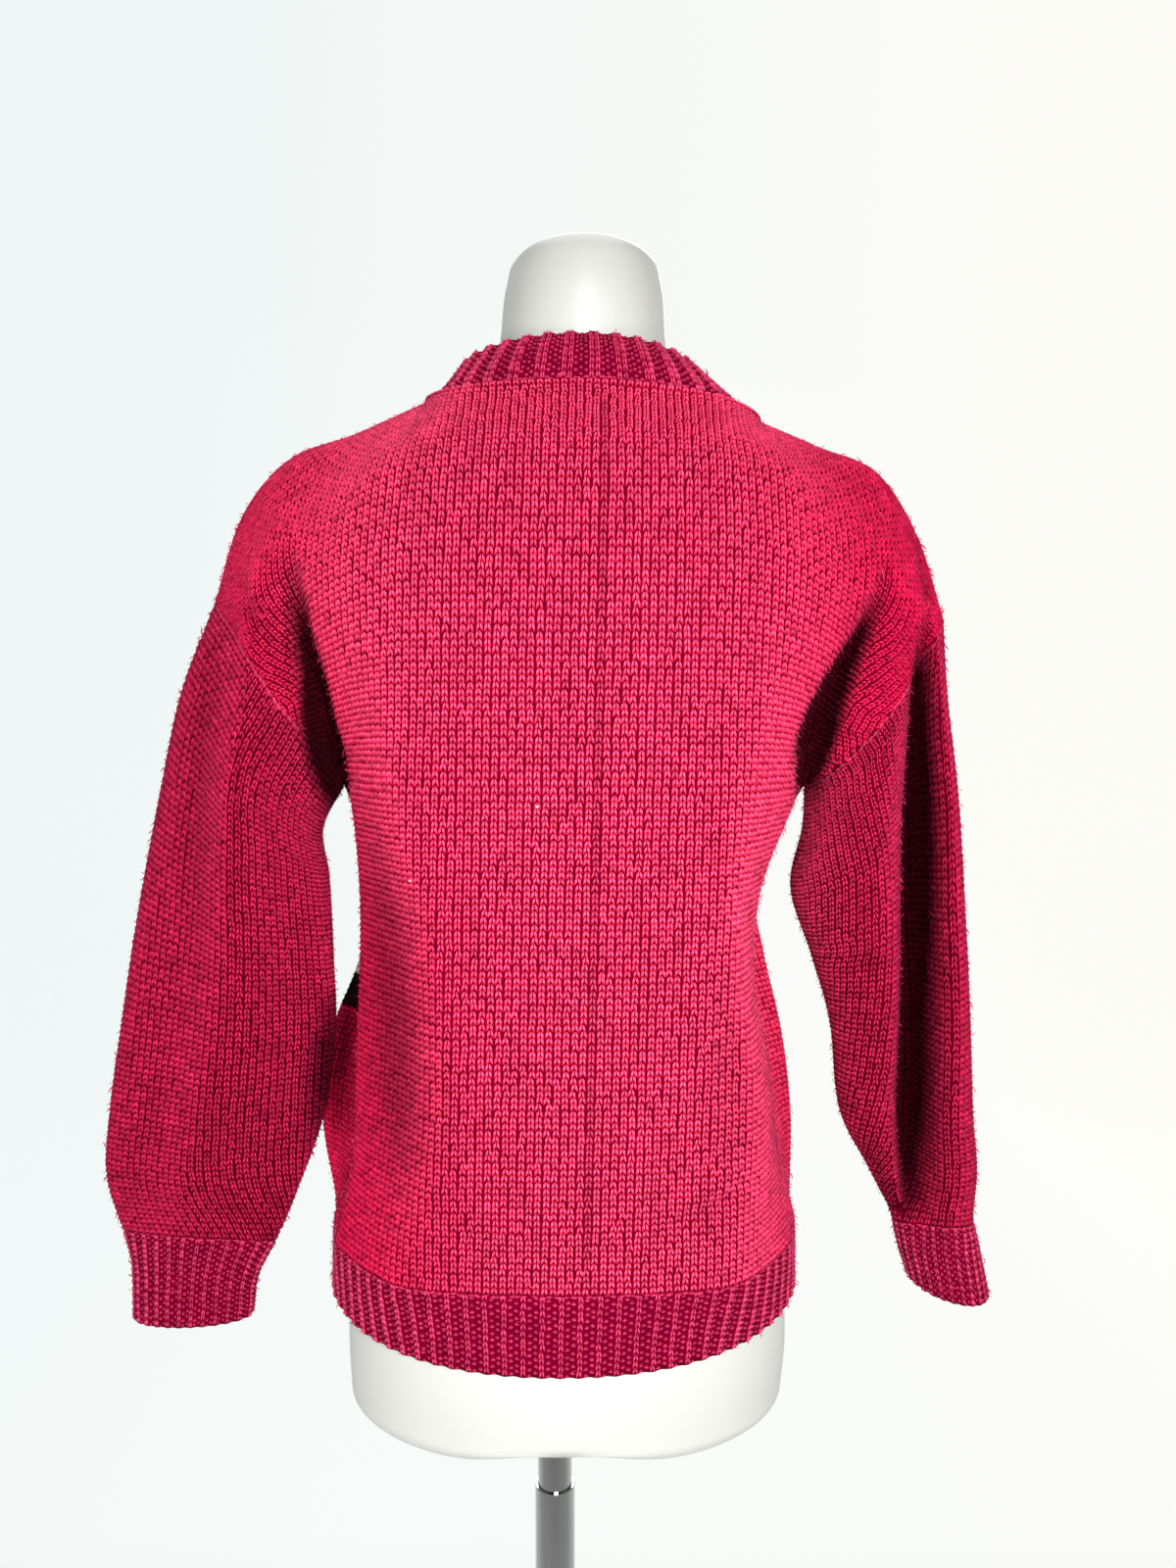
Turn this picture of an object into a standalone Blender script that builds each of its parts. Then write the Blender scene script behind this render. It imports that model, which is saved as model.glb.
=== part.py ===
"""A pullover sweater on a limbless dress form, with its telescoping stand.

The back of the sweater faces minus Y, the wearer's left side is minus X and
the floor is at height zero. All sizes are in metres. Every knitted piece is a
thin wall: its outer surface is a grid of points read from short tables, and
its inner surface is that grid moved inwards by the wall's thickness.
"""

import math

import bpy
import numpy as np

# The knitted wall.
WALL = 0.0018
SEAM_GAP = 0.0004
SMALLEST_LEAN = 0.95
UNDERARM_MITRE = 1.7

# The torso leans a little: its middle, as a distance along X, against height.
AXIS_FOOT_HEIGHT = 0.75
AXIS_FOOT_X = 0.0066
AXIS_LEAN = 0.022

# The two neck lines round the torso's middle: the seam under the neckband, and
# the band's free upper edge. d is a depth and z a height.
NECK_COLUMNS = ("left_x", "right_x", "left_z", "right_z", "back_d", "back_z", "front_d", "front_z")
NECK_LINES = {
    "seam": (0.1090, 0.1260, 1.385, 1.371, 0.0780, 1.3795, 0.0980, 1.318),
    "edge": (0.0840, 0.0800, 1.405, 1.401, 0.0655, 1.4120, 0.0830, 1.346),
}
NECK_DIP = 1.5

# The hem's lower edge, from the torso's middle, and the rows of both bands.
HEM_EDGE = 0.734
HEM_LEFT = 0.1690
HEM_RIGHT = 0.1710
HEM_DEPTH = 0.1130
HEM_ROWS = (0.0, 0.45, 1.0)
NECK_BAND_ROWS = (0.0, 0.4, 1.0)
NECK_BAND_BOW = 0.004
NECK_BAND_LEAN = (0.6, 0.8)

# Ribs: how many, how high, and how much of a rib its raised top and slopes take.
HEM_RIBS = 74
CUFF_RIBS = 24
NECK_RIBS = 36
HEM_RIB_HEIGHT = 0.0014
CUFF_RIB_HEIGHT = 0.0012
NECK_RIB_HEIGHT = 0.0020
NARROW_RIB = ((0.0, 0.0), (0.34, 1.0), (0.67, 1.0))
WIDE_RIB = ((0.0, 0.0), (0.20, 1.0), (0.55, 1.0), (0.75, 0.0))

# Middle of the back and of the front, as depths from the torso's middle.
MIDLINE_COLUMNS = ("height", "back", "front")
MIDLINE = (
    (0.790, 0.1150, 0.1150),
    (0.850, 0.1165, 0.1200),
    (0.920, 0.1170, 0.1250),
    (0.980, 0.1160, 0.1280),
    (1.040, 0.1150, 0.1300),
    (1.110, 0.1135, 0.1290),
)

# Each quarter of the body below the underarm: where its flat middle ends (blade)
# and where it turns the corner (lip), as distances from the torso's middle.
QUARTER_COLUMNS = ("blade_x", "blade_d", "lip_x", "lip_d")
QUARTERS = {
    ("left", "back"): (
        (0.110, 0.100, 0.158, 0.048),
        (0.095, 0.108, 0.148, 0.045),
        (0.092, 0.109, 0.147, 0.042),
        (0.095, 0.108, 0.146, 0.040),
        (0.098, 0.108, 0.146, 0.042),
        (0.110, 0.103, 0.149, 0.052),
    ),
    ("left", "front"): (
        (0.105, 0.105, 0.175, 0.045),
        (0.100, 0.112, 0.190, 0.052),
        (0.098, 0.116, 0.183, 0.052),
        (0.097, 0.118, 0.161, 0.050),
        (0.100, 0.120, 0.158, 0.050),
        (0.105, 0.118, 0.161, 0.052),
    ),
    ("right", "back"): (
        (0.115, 0.100, 0.158, 0.046),
        (0.118, 0.098, 0.150, 0.045),
        (0.116, 0.098, 0.141, 0.042),
        (0.108, 0.100, 0.128, 0.045),
        (0.104, 0.102, 0.130, 0.046),
        (0.108, 0.102, 0.150, 0.052),
    ),
    ("right", "front"): (
        (0.105, 0.105, 0.170, 0.045),
        (0.100, 0.112, 0.172, 0.050),
        (0.098, 0.116, 0.163, 0.048),
        (0.097, 0.118, 0.148, 0.046),
        (0.098, 0.120, 0.137, 0.048),
        (0.105, 0.118, 0.160, 0.052),
    ),
}

# Points between the middle and the blade, and between the lip and the side seam,
# as shares of the way along X and of the depth left.
MIDDLE_SHARE = (0.60, 0.30)
FOLD_SHARES = ((0.45, 0.52), (0.78, 0.22))

# Side seams, which lie at the bottom of a soft vertical fold.
SIDE_SEAMS = {
    "left": (0.171, 0.150, 0.136, 0.128, 0.130, 0.167),
    "right": (0.171, 0.154, 0.134, 0.117, 0.120, 0.167),
}

# Rows of each half panel above the underarm. share is the way up the armhole;
# the five pairs after the middle are points across the half panel: beside the
# middle, under the neck's side, the crease's lip, its bottom, and the sleeve cap.
UPPER_COLUMNS = (
    "share", "height", "mid_d",
    "near_x", "near_d", "side_x", "side_d",
    "lip_x", "lip_d", "crease_x", "crease_d", "cap_x", "cap_d",
)
UPPER = (
    (0.30, 1.160, 0.113, 0.070, 0.111, 0.118, 0.096, 0.152, 0.060, 0.166, 0.045, 0.173, 0.042),
    (0.46, 1.215, 0.112, 0.071, 0.110, 0.119, 0.096, 0.161, 0.068, 0.184, 0.043, 0.194, 0.048),
    (0.66, 1.290, 0.104, 0.074, 0.100, 0.121, 0.087, 0.166, 0.070, 0.197, 0.056, 0.217, 0.052),
    (0.85, 1.345, 0.090, 0.080, 0.076, 0.124, 0.054, 0.168, 0.044, 0.207, 0.043, 0.233, 0.038),
)

# The front is fuller, and its two highest rows dip under the lower neckline.
FRONT_FULLNESS = (1.12, 1.12, 1.12, 1.18)
FRONT_DIP = (0.0, 0.0, 0.022, 0.052)
FRONT_DIP_SHARE = (1.0, 0.85, 0.3, 0.0, 0.0, 0.0, 0.0)

# The share of a row's fall, from the middle to the armhole, at each of its points.
ROW_FALL = (0.0, 0.0, 0.03, 0.25, 0.5, 0.78, 1.0)

# Points of the shoulder seam between the neck's side and the armhole's top.
SHOULDER_COLUMNS = ("x", "height")
SHOULDERS = {
    "left": ((0.1600, 1.3620), (0.2075, 1.3440), (0.2395, 1.3050)),
    "right": ((0.1710, 1.3520), (0.2110, 1.3350), (0.2400, 1.2920)),
}
SHOULDER_TOP = 1.380
OVER_SHOULDER = 1.425

# Places of a half panel's seven points along its width, and the steps between them.
WIDTH_PLACES = (0.0, 0.065, 0.115, 0.175, 0.220, 0.262, 0.305)
WIDTH_STEPS = (3, 3, 2, 2, 2, 2)
ROW_STEPS = 2
UNDERARM_ROW = (len(MIDLINE) - 1) * ROW_STEPS

# Sections of each sleeve, from the armhole to the cuff's edge. inner and outer
# are the section's two ends, as distances from the stand's axis; back and front
# are its depths; turn and tilt are in degrees, bow draws the section's middle
# towards the neck, and fold is a ridge (or a trough, below zero) on the back, at
# a place from -1 at the inner end to 1 at the outer one.
SLEEVE_COLUMNS = (
    "reach", "inner_x", "inner_z", "outer_x", "outer_z", "mid_y",
    "back", "front", "turn", "tilt", "bow", "fold", "fold_at", "fold_width",
)
SLEEVES = {
    "left": (
        (0.00, 0.1525, 1.113, 0.2412, 1.243, 0.000, .045, .045, 0, 0, 0.008, 0.010, -0.20, 0.45),
        (0.05, 0.1680, 1.083, 0.2620, 1.188, -.004, .048, .044, 0, 0, 0.004, 0.016, -0.20, 0.45),
        (0.12, 0.1635, 1.045, 0.2803, 1.110, -.006, .046, .042, 0, 0, 0.000, 0.020, -0.20, 0.45),
        (0.20, 0.1605, 0.985, 0.2994, 1.020, -.008, .036, .036, 0, 0, 0.000, 0.022, -0.20, 0.42),
        (0.28, 0.1597, 0.930, 0.3135, 0.938, -.010, .030, .028, 0, 0, 0.000, 0.020, -0.15, 0.40),
        (0.34, 0.1685, 0.872, 0.3237, 0.875, -.010, .026, .024, 0, 4, 0.000, 0.018, -0.10, 0.40),
        (0.40, 0.1870, 0.820, 0.3270, 0.825, -.010, .026, .022, 0, 12, 0.000, 0.012, -0.05, 0.40),
        (0.45, 0.2060, 0.776, 0.3165, 0.784, -.009, .024, .021, 0, 22, 0.000, 0.004, 0.00, 0.40),
        (0.47, 0.2170, 0.757, 0.3120, 0.768, -.008, .022, .020, 0, 18, 0.000, 0.000, 0.00, 0.40),
        (0.52, 0.2250, 0.719, 0.3105, 0.717, -.008, .021, .019, 0, 6, 0.000, 0.000, 0.00, 0.40),
    ),
    "right": (
        (0.00, 0.1825, 1.113, 0.2756, 1.236, 0.000, .045, .045, 0, 0, -.008, -.012, 0.45, 0.34),
        (0.05, 0.1810, 1.083, 0.2795, 1.183, -.004, .048, .044, 0, 0, -.004, -.024, 0.45, 0.34),
        (0.12, 0.1725, 1.040, 0.2893, 1.110, -.006, .048, .042, 0, 0, 0.000, -.032, 0.42, 0.32),
        (0.20, 0.1880, 0.990, 0.2955, 1.020, -.008, .044, .040, -5, 0, 0.000, -.034, 0.38, 0.32),
        (0.28, 0.2040, 0.935, 0.3000, 0.945, -.008, .040, .040, -10, 0, 0.000, -.032, 0.28, 0.32),
        (0.34, 0.2125, 0.872, 0.3025, 0.875, -.008, .036, .040, -16, 2, 0.000, -.028, 0.15, 0.34),
        (0.40, 0.2365, 0.825, 0.3065, 0.832, -.006, .034, .038, -22, 8, 0.000, -.020, 0.05, 0.36),
        (0.45, 0.2555, 0.786, 0.3055, 0.792, -.004, .030, .034, -28, 14, 0.000, -.008, 0.00, 0.36),
        (0.47, 0.2600, 0.771, 0.3075, 0.778, -.004, .028, .032, -32, 12, 0.000, -.003, 0.00, 0.36),
        (0.52, 0.2700, 0.744, 0.3155, 0.735, -.004, .026, .030, -36, 4, 0.000, 0.000, 0.00, 0.30),
    ),
}
CUFF_SEAM_REACH = 0.45
CUFF_EDGE_REACH = 0.52
SLEEVE_RINGS = 12
CUFF_RINGS = 3

# The dress form's sections from the hips up, round the torso's middle.
FORM_COLUMNS = ("height", "shift", "half_width", "back", "front")
FORM = (
    (0.668, 0.004, 0.1600, 0.0950, 0.0900),
    (0.700, 0.004, 0.1620, 0.1000, 0.0930),
    (0.740, 0.003, 0.1610, 0.1030, 0.0950),
    (0.800, 0.000, 0.1560, 0.1020, 0.0950),
    (0.860, 0.000, 0.1380, 0.0940, 0.0930),
    (0.930, 0.000, 0.1180, 0.0840, 0.0900),
    (0.990, 0.000, 0.1060, 0.0780, 0.0880),
    (1.060, 0.000, 0.1100, 0.0830, 0.0980),
    (1.140, 0.000, 0.1260, 0.0880, 0.1100),
    (1.200, 0.000, 0.1380, 0.0900, 0.1060),
    (1.260, 0.000, 0.1480, 0.0860, 0.0920),
    (1.300, 0.000, 0.1520, 0.0720, 0.0720),
    (1.328, 0.000, 0.1320, 0.0540, 0.0520),
    (1.350, 0.000, 0.0940, 0.0480, 0.0480),
    (1.375, 0.000, 0.0700, 0.0520, 0.0520),
    (1.400, 0.000, 0.0610, 0.0570, 0.0570),
    (1.430, 0.000, 0.0578, 0.0570, 0.0570),
    (1.463, 0.000, 0.0542, 0.0540, 0.0540),
    (1.478, 0.000, 0.0490, 0.0490, 0.0490),
    (1.485, 0.000, 0.0400, 0.0400, 0.0400),
    (1.490, 0.000, 0.0250, 0.0250, 0.0250),
)
FORM_TOP = 1.492
FORM_SIDES = 36
FORM_ROWS = (1, 1, 2, 2, 1, 1, 1, 1, 2, 1, 2, 1, 1, 1, 1, 1, 1, 1, 1, 1)
LOBE_FOOT = 0.636
LOBE_SPREAD = 0.078
LOBE_SHARES = (0.35, 0.65, 0.85, 0.97)
CROTCH = 0.668
CROTCH_WIDTH = 0.042

# The stand.
POLE_SIDES = 32
UPPER_TUBE_RADIUS = 0.0128
UPPER_TUBE_FOOT = 0.180
UPPER_TUBE_TOP = 0.830
LOWER_TUBE_RADIUS = 0.0150
LOWER_TUBE_BORE = 0.0131
LOWER_TUBE_TOP = 0.583
SOCKET_RADIUS = 0.0131
SOCKET_TOP = 0.8303
SOCKET_FOOT = 0.600
BASE_RADIUS = 0.175
BASE_THICKNESS = 0.006
BASE_SIDES = 48
COLLAR_RADIUS = 0.026
COLLAR_TOP = 0.034
COLLAR_FLARE = 0.004
EDGE_CHAMFER = 0.002
LIP_CHAMFER = 0.0005
FIT_GAP = 0.0003

SIDE_SIGN = {"left": -1.0, "right": 1.0}
FACE_SIGN = {"back": -1.0, "front": 1.0}

RASPBERRY = (0.52, 0.012, 0.09)
RASPBERRY_RIB = (0.42, 0.010, 0.07)
CREAM = (0.86, 0.85, 0.80)
CHROME = (0.78, 0.78, 0.80)


def clear_scene():
    """Remove every object of the starting scene."""
    for old in list(bpy.data.objects):
        bpy.data.objects.remove(old, do_unlink=True)


def column(table, names, name):
    """One named column of a table, as an array."""
    place = names.index(name)
    return np.array([row[place] for row in table], dtype=float)


def smooth_through(knots, values, places):
    """Points at the given places on a smooth curve through values at the knots."""
    knots = np.asarray(knots, dtype=float)
    values = np.asarray(values, dtype=float)
    places = np.asarray(places, dtype=float)
    shape = values.shape[1:]
    flat = values.reshape(len(knots), -1)
    steps = np.diff(knots)[:, None]
    slopes = np.diff(flat, axis=0) / steps
    tangents = np.empty_like(flat)
    tangents[1:-1] = (slopes[:-1] * steps[1:] + slopes[1:] * steps[:-1]) / (steps[:-1] + steps[1:])
    tangents[0] = slopes[0]
    tangents[-1] = slopes[-1]
    spans = np.clip(np.searchsorted(knots, places, side="right") - 1, 0, len(knots) - 2)
    width = steps[spans]
    t = (places - knots[spans])[:, None] / width
    from_start = flat[spans] * (2 * t**3 - 3 * t**2 + 1) + tangents[spans] * width * (t**3 - 2 * t**2 + t)
    from_end = flat[spans + 1] * (3 * t**2 - 2 * t**3) + tangents[spans + 1] * width * (t**3 - t**2)
    return (from_start + from_end).reshape((len(places),) + shape)


def stepped(knots, counts):
    """Places between the knots, with a given count of equal steps in each span."""
    pieces = [np.linspace(a, b, n, endpoint=False) for a, b, n in zip(knots, knots[1:], counts)]
    return np.append(np.concatenate(pieces), knots[-1])


def axis_x(height):
    """The torso's middle, along X, at a height."""
    return AXIS_FOOT_X + AXIS_LEAN * (np.asarray(height) - AXIS_FOOT_HEIGHT)


def sleeve_section(side, reach, share, face):
    """Points of a sleeve's section: share runs from 0 at its inner end to 1 at its outer one."""
    table = SLEEVES[side]
    reaches = column(table, SLEEVE_COLUMNS, "reach")
    values = smooth_through(reaches, np.array(table, dtype=float), np.atleast_1d(reach))[0]
    read = dict(zip(SLEEVE_COLUMNS, values))
    along = -np.cos(np.pi * share)
    bulge = np.sin(np.pi * share)
    turn = math.radians(read["turn"])
    tilt = math.radians(read["tilt"])
    half_x = (read["outer_x"] - read["inner_x"]) / 2
    half_z = (read["outer_z"] - read["inner_z"]) / 2
    depth = read["back"] if face == "back" else read["front"]
    out = depth * bulge
    if face == "back":
        near = np.exp(-(((along - read["fold_at"]) / read["fold_width"]) ** 2))
        out = out + read["fold"] * near * bulge
    forward = FACE_SIGN[face] * out * math.cos(tilt)
    across = along * half_x / math.cos(turn)
    drawn = read["bow"] * bulge / math.hypot(half_x, half_z)
    x = (read["inner_x"] + read["outer_x"]) / 2 + across * math.cos(turn) - forward * math.sin(turn)
    y = read["mid_y"] + across * math.sin(turn) + forward * math.cos(turn)
    z = (read["inner_z"] + read["outer_z"]) / 2 + along * half_z
    x = x - drawn * half_z
    z = z + drawn * half_x - FACE_SIGN[face] * out * math.sin(tilt)
    return np.stack([SIDE_SIGN[side] * x, y, z], axis=-1)


def lower_controls(side, face):
    """Seven points across each row of a quarter of the body below the underarm."""
    heights = column(MIDLINE, MIDLINE_COLUMNS, "height")
    mid = column(MIDLINE, MIDLINE_COLUMNS, face)
    table = QUARTERS[(side, face)]
    blade_x = column(table, QUARTER_COLUMNS, "blade_x")
    blade_d = column(table, QUARTER_COLUMNS, "blade_d")
    lip_x = column(table, QUARTER_COLUMNS, "lip_x")
    lip_d = column(table, QUARTER_COLUMNS, "lip_d")
    seam_x = np.array(SIDE_SEAMS[side])
    along, fallen = MIDDLE_SHARE
    points = [(0.0 * mid, mid), (along * blade_x, mid - fallen * (mid - blade_d)),
              (blade_x, blade_d), (lip_x, lip_d)]
    for across, deep in FOLD_SHARES:
        points.append((lip_x + across * (seam_x - lip_x), deep * lip_d))
    points.append((seam_x, 0.0 * mid))
    rows = np.empty((len(heights), len(points), 3))
    for place, (x, d) in enumerate(points):
        rows[:, place, 0] = SIDE_SIGN[side] * x + axis_x(heights)
        rows[:, place, 1] = FACE_SIGN[face] * d
        rows[:, place, 2] = heights
    rows[-1, -1] = sleeve_section(side, 0.0, np.array([0.0]), face)[0]
    return rows


def upper_controls(side, face):
    """Seven points across each row of a quarter of the body above the underarm."""
    shares = column(UPPER, UPPER_COLUMNS, "share")
    heights = column(UPPER, UPPER_COLUMNS, "height")
    fullness = np.array(FRONT_FULLNESS) if face == "front" else np.ones(len(shares))
    rows = np.empty((len(shares), 7, 3))
    edge = sleeve_section(side, 0.0, shares, face)
    fall = (edge[:, 2] - heights)[:, None] * np.array(ROW_FALL)[None, :]
    rows[:, :, 2] = heights[:, None] + fall
    if face == "front":
        rows[:, :, 2] -= np.outer(FRONT_DIP, FRONT_DIP_SHARE)
    names = ("near", "side", "lip", "crease", "cap")
    rows[:, 0, 0] = axis_x(heights)
    rows[:, 0, 1] = FACE_SIGN[face] * fullness * column(UPPER, UPPER_COLUMNS, "mid_d")
    for place, name in enumerate(names, start=1):
        swell = fullness if name in ("near", "side") else 1.0
        x = column(UPPER, UPPER_COLUMNS, name + "_x")
        rows[:, place, 0] = SIDE_SIGN[side] * x + axis_x(heights)
        rows[:, place, 1] = FACE_SIGN[face] * swell * column(UPPER, UPPER_COLUMNS, name + "_d")
    rows[:, 6] = edge
    return rows


def neck_ring(angle, line):
    """Points of a neck line: angle is 0 at the nape and a quarter turn at the wearer's right."""
    read = dict(zip(NECK_COLUMNS, NECK_LINES[line]))
    angle = np.asarray(angle, dtype=float)
    behind = np.cos(angle) >= 0
    on_left = np.sin(angle) < 0
    depth = np.where(behind, read["back_d"], read["front_d"])
    middle_height = np.where(behind, read["back_z"], read["front_z"])
    half_width = np.where(on_left, read["left_x"], read["right_x"])
    side_height = np.where(on_left, read["left_z"], read["right_z"])
    x = axis_x(read["back_z"]) + half_width * np.sin(angle)
    y = -depth * np.cos(angle)
    z = side_height + (middle_height - side_height) * np.abs(np.cos(angle)) ** NECK_DIP
    return np.stack([x, y, z], axis=-1)


def neck_angle(side, face, share):
    """The neck ring's angle on one quarter, for a share from the middle to the side."""
    quarter = share * math.pi / 2
    angle = quarter if face == "back" else math.pi - quarter
    return SIDE_SIGN[side] * angle


def shoulder_seam(side, places):
    """The shoulder seam at places of the half panel's width, from the neck to the armhole."""
    x = column(SHOULDERS[side], SHOULDER_COLUMNS, "x")
    z = column(SHOULDERS[side], SHOULDER_COLUMNS, "height")
    between = np.stack([SIDE_SIGN[side] * x + axis_x(z), 0.0 * z, z], axis=-1)
    start = neck_ring(neck_angle(side, "back", 1.0), "seam")
    end = sleeve_section(side, 0.0, np.array([1.0]), "back")[0]
    points = np.concatenate([start[None], between, end[None]])
    return smooth_through(WIDTH_PLACES[2:], points, places)


def top_row(side, face, places):
    """The upper edge of a half panel: the neckline and then the shoulder seam."""
    neck_end = WIDTH_PLACES[2]
    points = np.empty((len(places), 3))
    on_neck = places < neck_end - 1e-9
    points[on_neck] = neck_ring(neck_angle(side, face, places[on_neck] / neck_end), "seam")
    points[~on_neck] = shoulder_seam(side, places[~on_neck])
    return points


def side_seam(side, places):
    """The side seam at the given heights."""
    heights = column(MIDLINE, MIDLINE_COLUMNS, "height")
    x = SIDE_SIGN[side] * np.array(SIDE_SEAMS[side]) + axis_x(heights)
    points = np.stack([x, 0.0 * heights, heights], axis=-1)
    points[-1] = sleeve_section(side, 0.0, np.array([0.0]), "back")[0]
    return smooth_through(heights, points, places)


def quarter_grid(side, face):
    """Outer surface of a quarter of the body: rows upwards, columns out to the seam."""
    other = "front" if face == "back" else "back"
    control_places = np.array(WIDTH_PLACES)
    lower = lower_controls(side, face)
    upper = upper_controls(side, face)
    top = top_row(side, face, control_places)
    beyond = upper_controls(side, other)[-1]
    beyond[:2] = 2 * top[:2] - upper[-1][:2]
    controls = np.concatenate([lower, upper, top[None], beyond[None]])
    heights = np.concatenate([
        column(MIDLINE, MIDLINE_COLUMNS, "height"),
        column(UPPER, UPPER_COLUMNS, "height"),
        [SHOULDER_TOP, OVER_SHOULDER],
    ])
    row_places = stepped(heights[:-1], [ROW_STEPS] * (len(heights) - 2))
    rows = smooth_through(heights, controls, row_places)
    places = stepped(control_places, WIDTH_STEPS)
    grid = smooth_through(control_places, rows.transpose(1, 0, 2), places).transpose(1, 0, 2)
    grid[-1] = top_row(side, face, places)
    seam = side_seam(side, row_places[:UNDERARM_ROW])
    armhole = sleeve_section(side, 0.0, armhole_shares(), face)
    shift = np.concatenate([seam, armhole]) - grid[:, -1]
    reach = np.clip((places - control_places[-3]) / (control_places[-1] - control_places[-3]), 0.0, 1.0)
    share = np.broadcast_to(reach, grid.shape[:2]).copy()
    share[-1, :-1] = 0.0
    return grid + shift[:, None] * share[:, :, None]


def panel_grid(face):
    """Outer surface of the whole back or front, from the left edge to the right one."""
    left = quarter_grid("left", face)
    right = quarter_grid("right", face)
    return np.concatenate([left[:, ::-1], right[:, 1:]], axis=1)


def armhole_ring(side, back, front):
    """The armhole's points, from the underarm up the back edge and down the front one."""
    edge = 0 if side == "left" else -1
    up = back[UNDERARM_ROW:, edge]
    down = front[UNDERARM_ROW:, edge][::-1]
    return np.concatenate([up[:-1], down[:-1]])


def armhole_shares():
    """The share of the way up the armhole at each of its rows."""
    heights = [MIDLINE[-1][0]] + [row[1] for row in UPPER] + [SHOULDER_TOP]
    knots = [0.0] + [row[0] for row in UPPER] + [1.0]
    places = stepped(heights, [ROW_STEPS] * (len(heights) - 1))
    return smooth_through(heights, np.array(knots), places)


def doubled(ring):
    """A closed ring with a new point at the middle of each side."""
    between = (ring + np.roll(ring, -1, axis=0)) / 2
    return np.stack([ring, between], axis=1).reshape((-1,) + ring.shape[1:])


def sleeve_grid(side, armhole, first_reach, last_reach, rings):
    """Outer surface of a sleeve or cuff: a ring of points in each row."""
    up = armhole_shares()
    shares = doubled(np.concatenate([up[:-1], 2 - up[::-1][:-1]])[:, None])[:, 0]
    shares[-1] = (shares[-2] + 2.0) / 2
    on_back = shares <= 1.0
    rows = []
    for reach in np.linspace(first_reach, last_reach, rings):
        back = sleeve_section(side, reach, shares[on_back], "back")
        front = sleeve_section(side, reach, 2.0 - shares[~on_back], "front")
        rows.append(np.concatenate([back, front]))
    grid = np.array(rows)
    if armhole is not None:
        grid[0] = doubled(armhole)
    return grid


def grid_normals(grid, closed):
    """Outward direction at each point of a grid, not yet of unit length."""
    if closed:
        across = np.roll(grid, -1, axis=1) - np.roll(grid, 1, axis=1)
    else:
        across = np.gradient(grid, axis=1)
    along = np.gradient(grid, axis=0)
    return np.cross(across, along)


def unit(vectors):
    """Vectors scaled to unit length."""
    length = np.linalg.norm(vectors, axis=-1, keepdims=True)
    return vectors / np.maximum(length, 1e-12)


def share_normals(grids):
    """Give points that several grids share the same direction, with a mitred length."""
    units = {name: unit(grid_normals(grid, closed)) for name, (grid, closed) in grids.items()}
    sums = {}
    for name, (grid, _) in grids.items():
        keys = np.round(grid * 1e5).astype(int)
        for key, normal in zip(map(tuple, keys.reshape(-1, 3)), units[name].reshape(-1, 3)):
            sums[key] = sums.get(key, 0.0) + normal
    shared = {}
    for name, (grid, _) in grids.items():
        keys = np.round(grid * 1e5).astype(int)
        total = np.array([sums[key] for key in map(tuple, keys.reshape(-1, 3))]).reshape(grid.shape)
        total = unit(total)
        lean = np.sum(total * units[name], axis=-1, keepdims=True)
        shared[name] = total / np.maximum(lean, SMALLEST_LEAN)
    return shared


def flattened(normals, plane):
    """Directions laid into the plane of a seam, and of unit length."""
    plane = unit(np.asarray(plane, dtype=float))
    return unit(normals - np.sum(normals * plane, axis=-1, keepdims=True) * plane)


def pulled_back(grid, rows=(True, True), columns=(False, False)):
    """The grid with its edges drawn in by the seam's gap."""
    grid = grid.copy()
    for first, wanted in ((0, rows[0]), (-1, rows[1])):
        second = 1 if first == 0 else -2
        if wanted:
            grid[first] += unit(grid[second] - grid[first]) * SEAM_GAP
    for first, wanted in ((0, columns[0]), (-1, columns[1])):
        second = 1 if first == 0 else -2
        if wanted:
            grid[:, first] += unit(grid[:, second] - grid[:, first]) * SEAM_GAP
    return grid


def make_material(name, colour, roughness, metallic=0.0):
    """A plain surface of one colour."""
    material = bpy.data.materials.new(name)
    material.use_nodes = True
    shader = material.node_tree.nodes["Principled BSDF"]
    shader.inputs["Base Color"].default_value = (*colour, 1.0)
    shader.inputs["Roughness"].default_value = roughness
    shader.inputs["Metallic"].default_value = metallic
    return material


def add_mesh(name, points, faces, material, parent=None):
    """One named object from points and faces."""
    mesh = bpy.data.meshes.new(name)
    mesh.from_pydata([tuple(map(float, p)) for p in points], [], faces)
    mesh.materials.append(material)
    mesh.shade_smooth()
    thing = bpy.data.objects.new(name, mesh)
    bpy.context.collection.objects.link(thing)
    thing.parent = parent
    return thing


def quad_halves(corners, split_first):
    """A four-sided face as two triangles, cut from its first corner or its second."""
    a, b, c, d = corners
    return [(a, b, c), (a, c, d)] if split_first else [(a, b, d), (b, c, d)]


def grid_faces(rows, wide, spans, offset, split_first, inward):
    """Triangles over a grid of points, cut the same way on both sides of a wall."""
    faces = []
    for row in range(rows - 1):
        for place in range(spans):
            beside = (place + 1) % wide
            corners = (offset + row * wide + place, offset + row * wide + beside,
                       offset + (row + 1) * wide + beside, offset + (row + 1) * wide + place)
            halves = quad_halves(corners, split_first[row, place])
            faces += [half[::-1] for half in halves] if inward else halves
    return faces


def shorter_diagonals(grid, closed):
    """For each cell of a grid, whether the diagonal from its first corner is the shorter one."""
    beside = np.roll(grid, -1, axis=1) if closed else grid[:, 1:]
    here = grid if closed else grid[:, :-1]
    first = np.linalg.norm(beside[1:] - here[:-1], axis=-1)
    second = np.linalg.norm(beside[:-1] - here[1:], axis=-1)
    return first <= second


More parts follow.
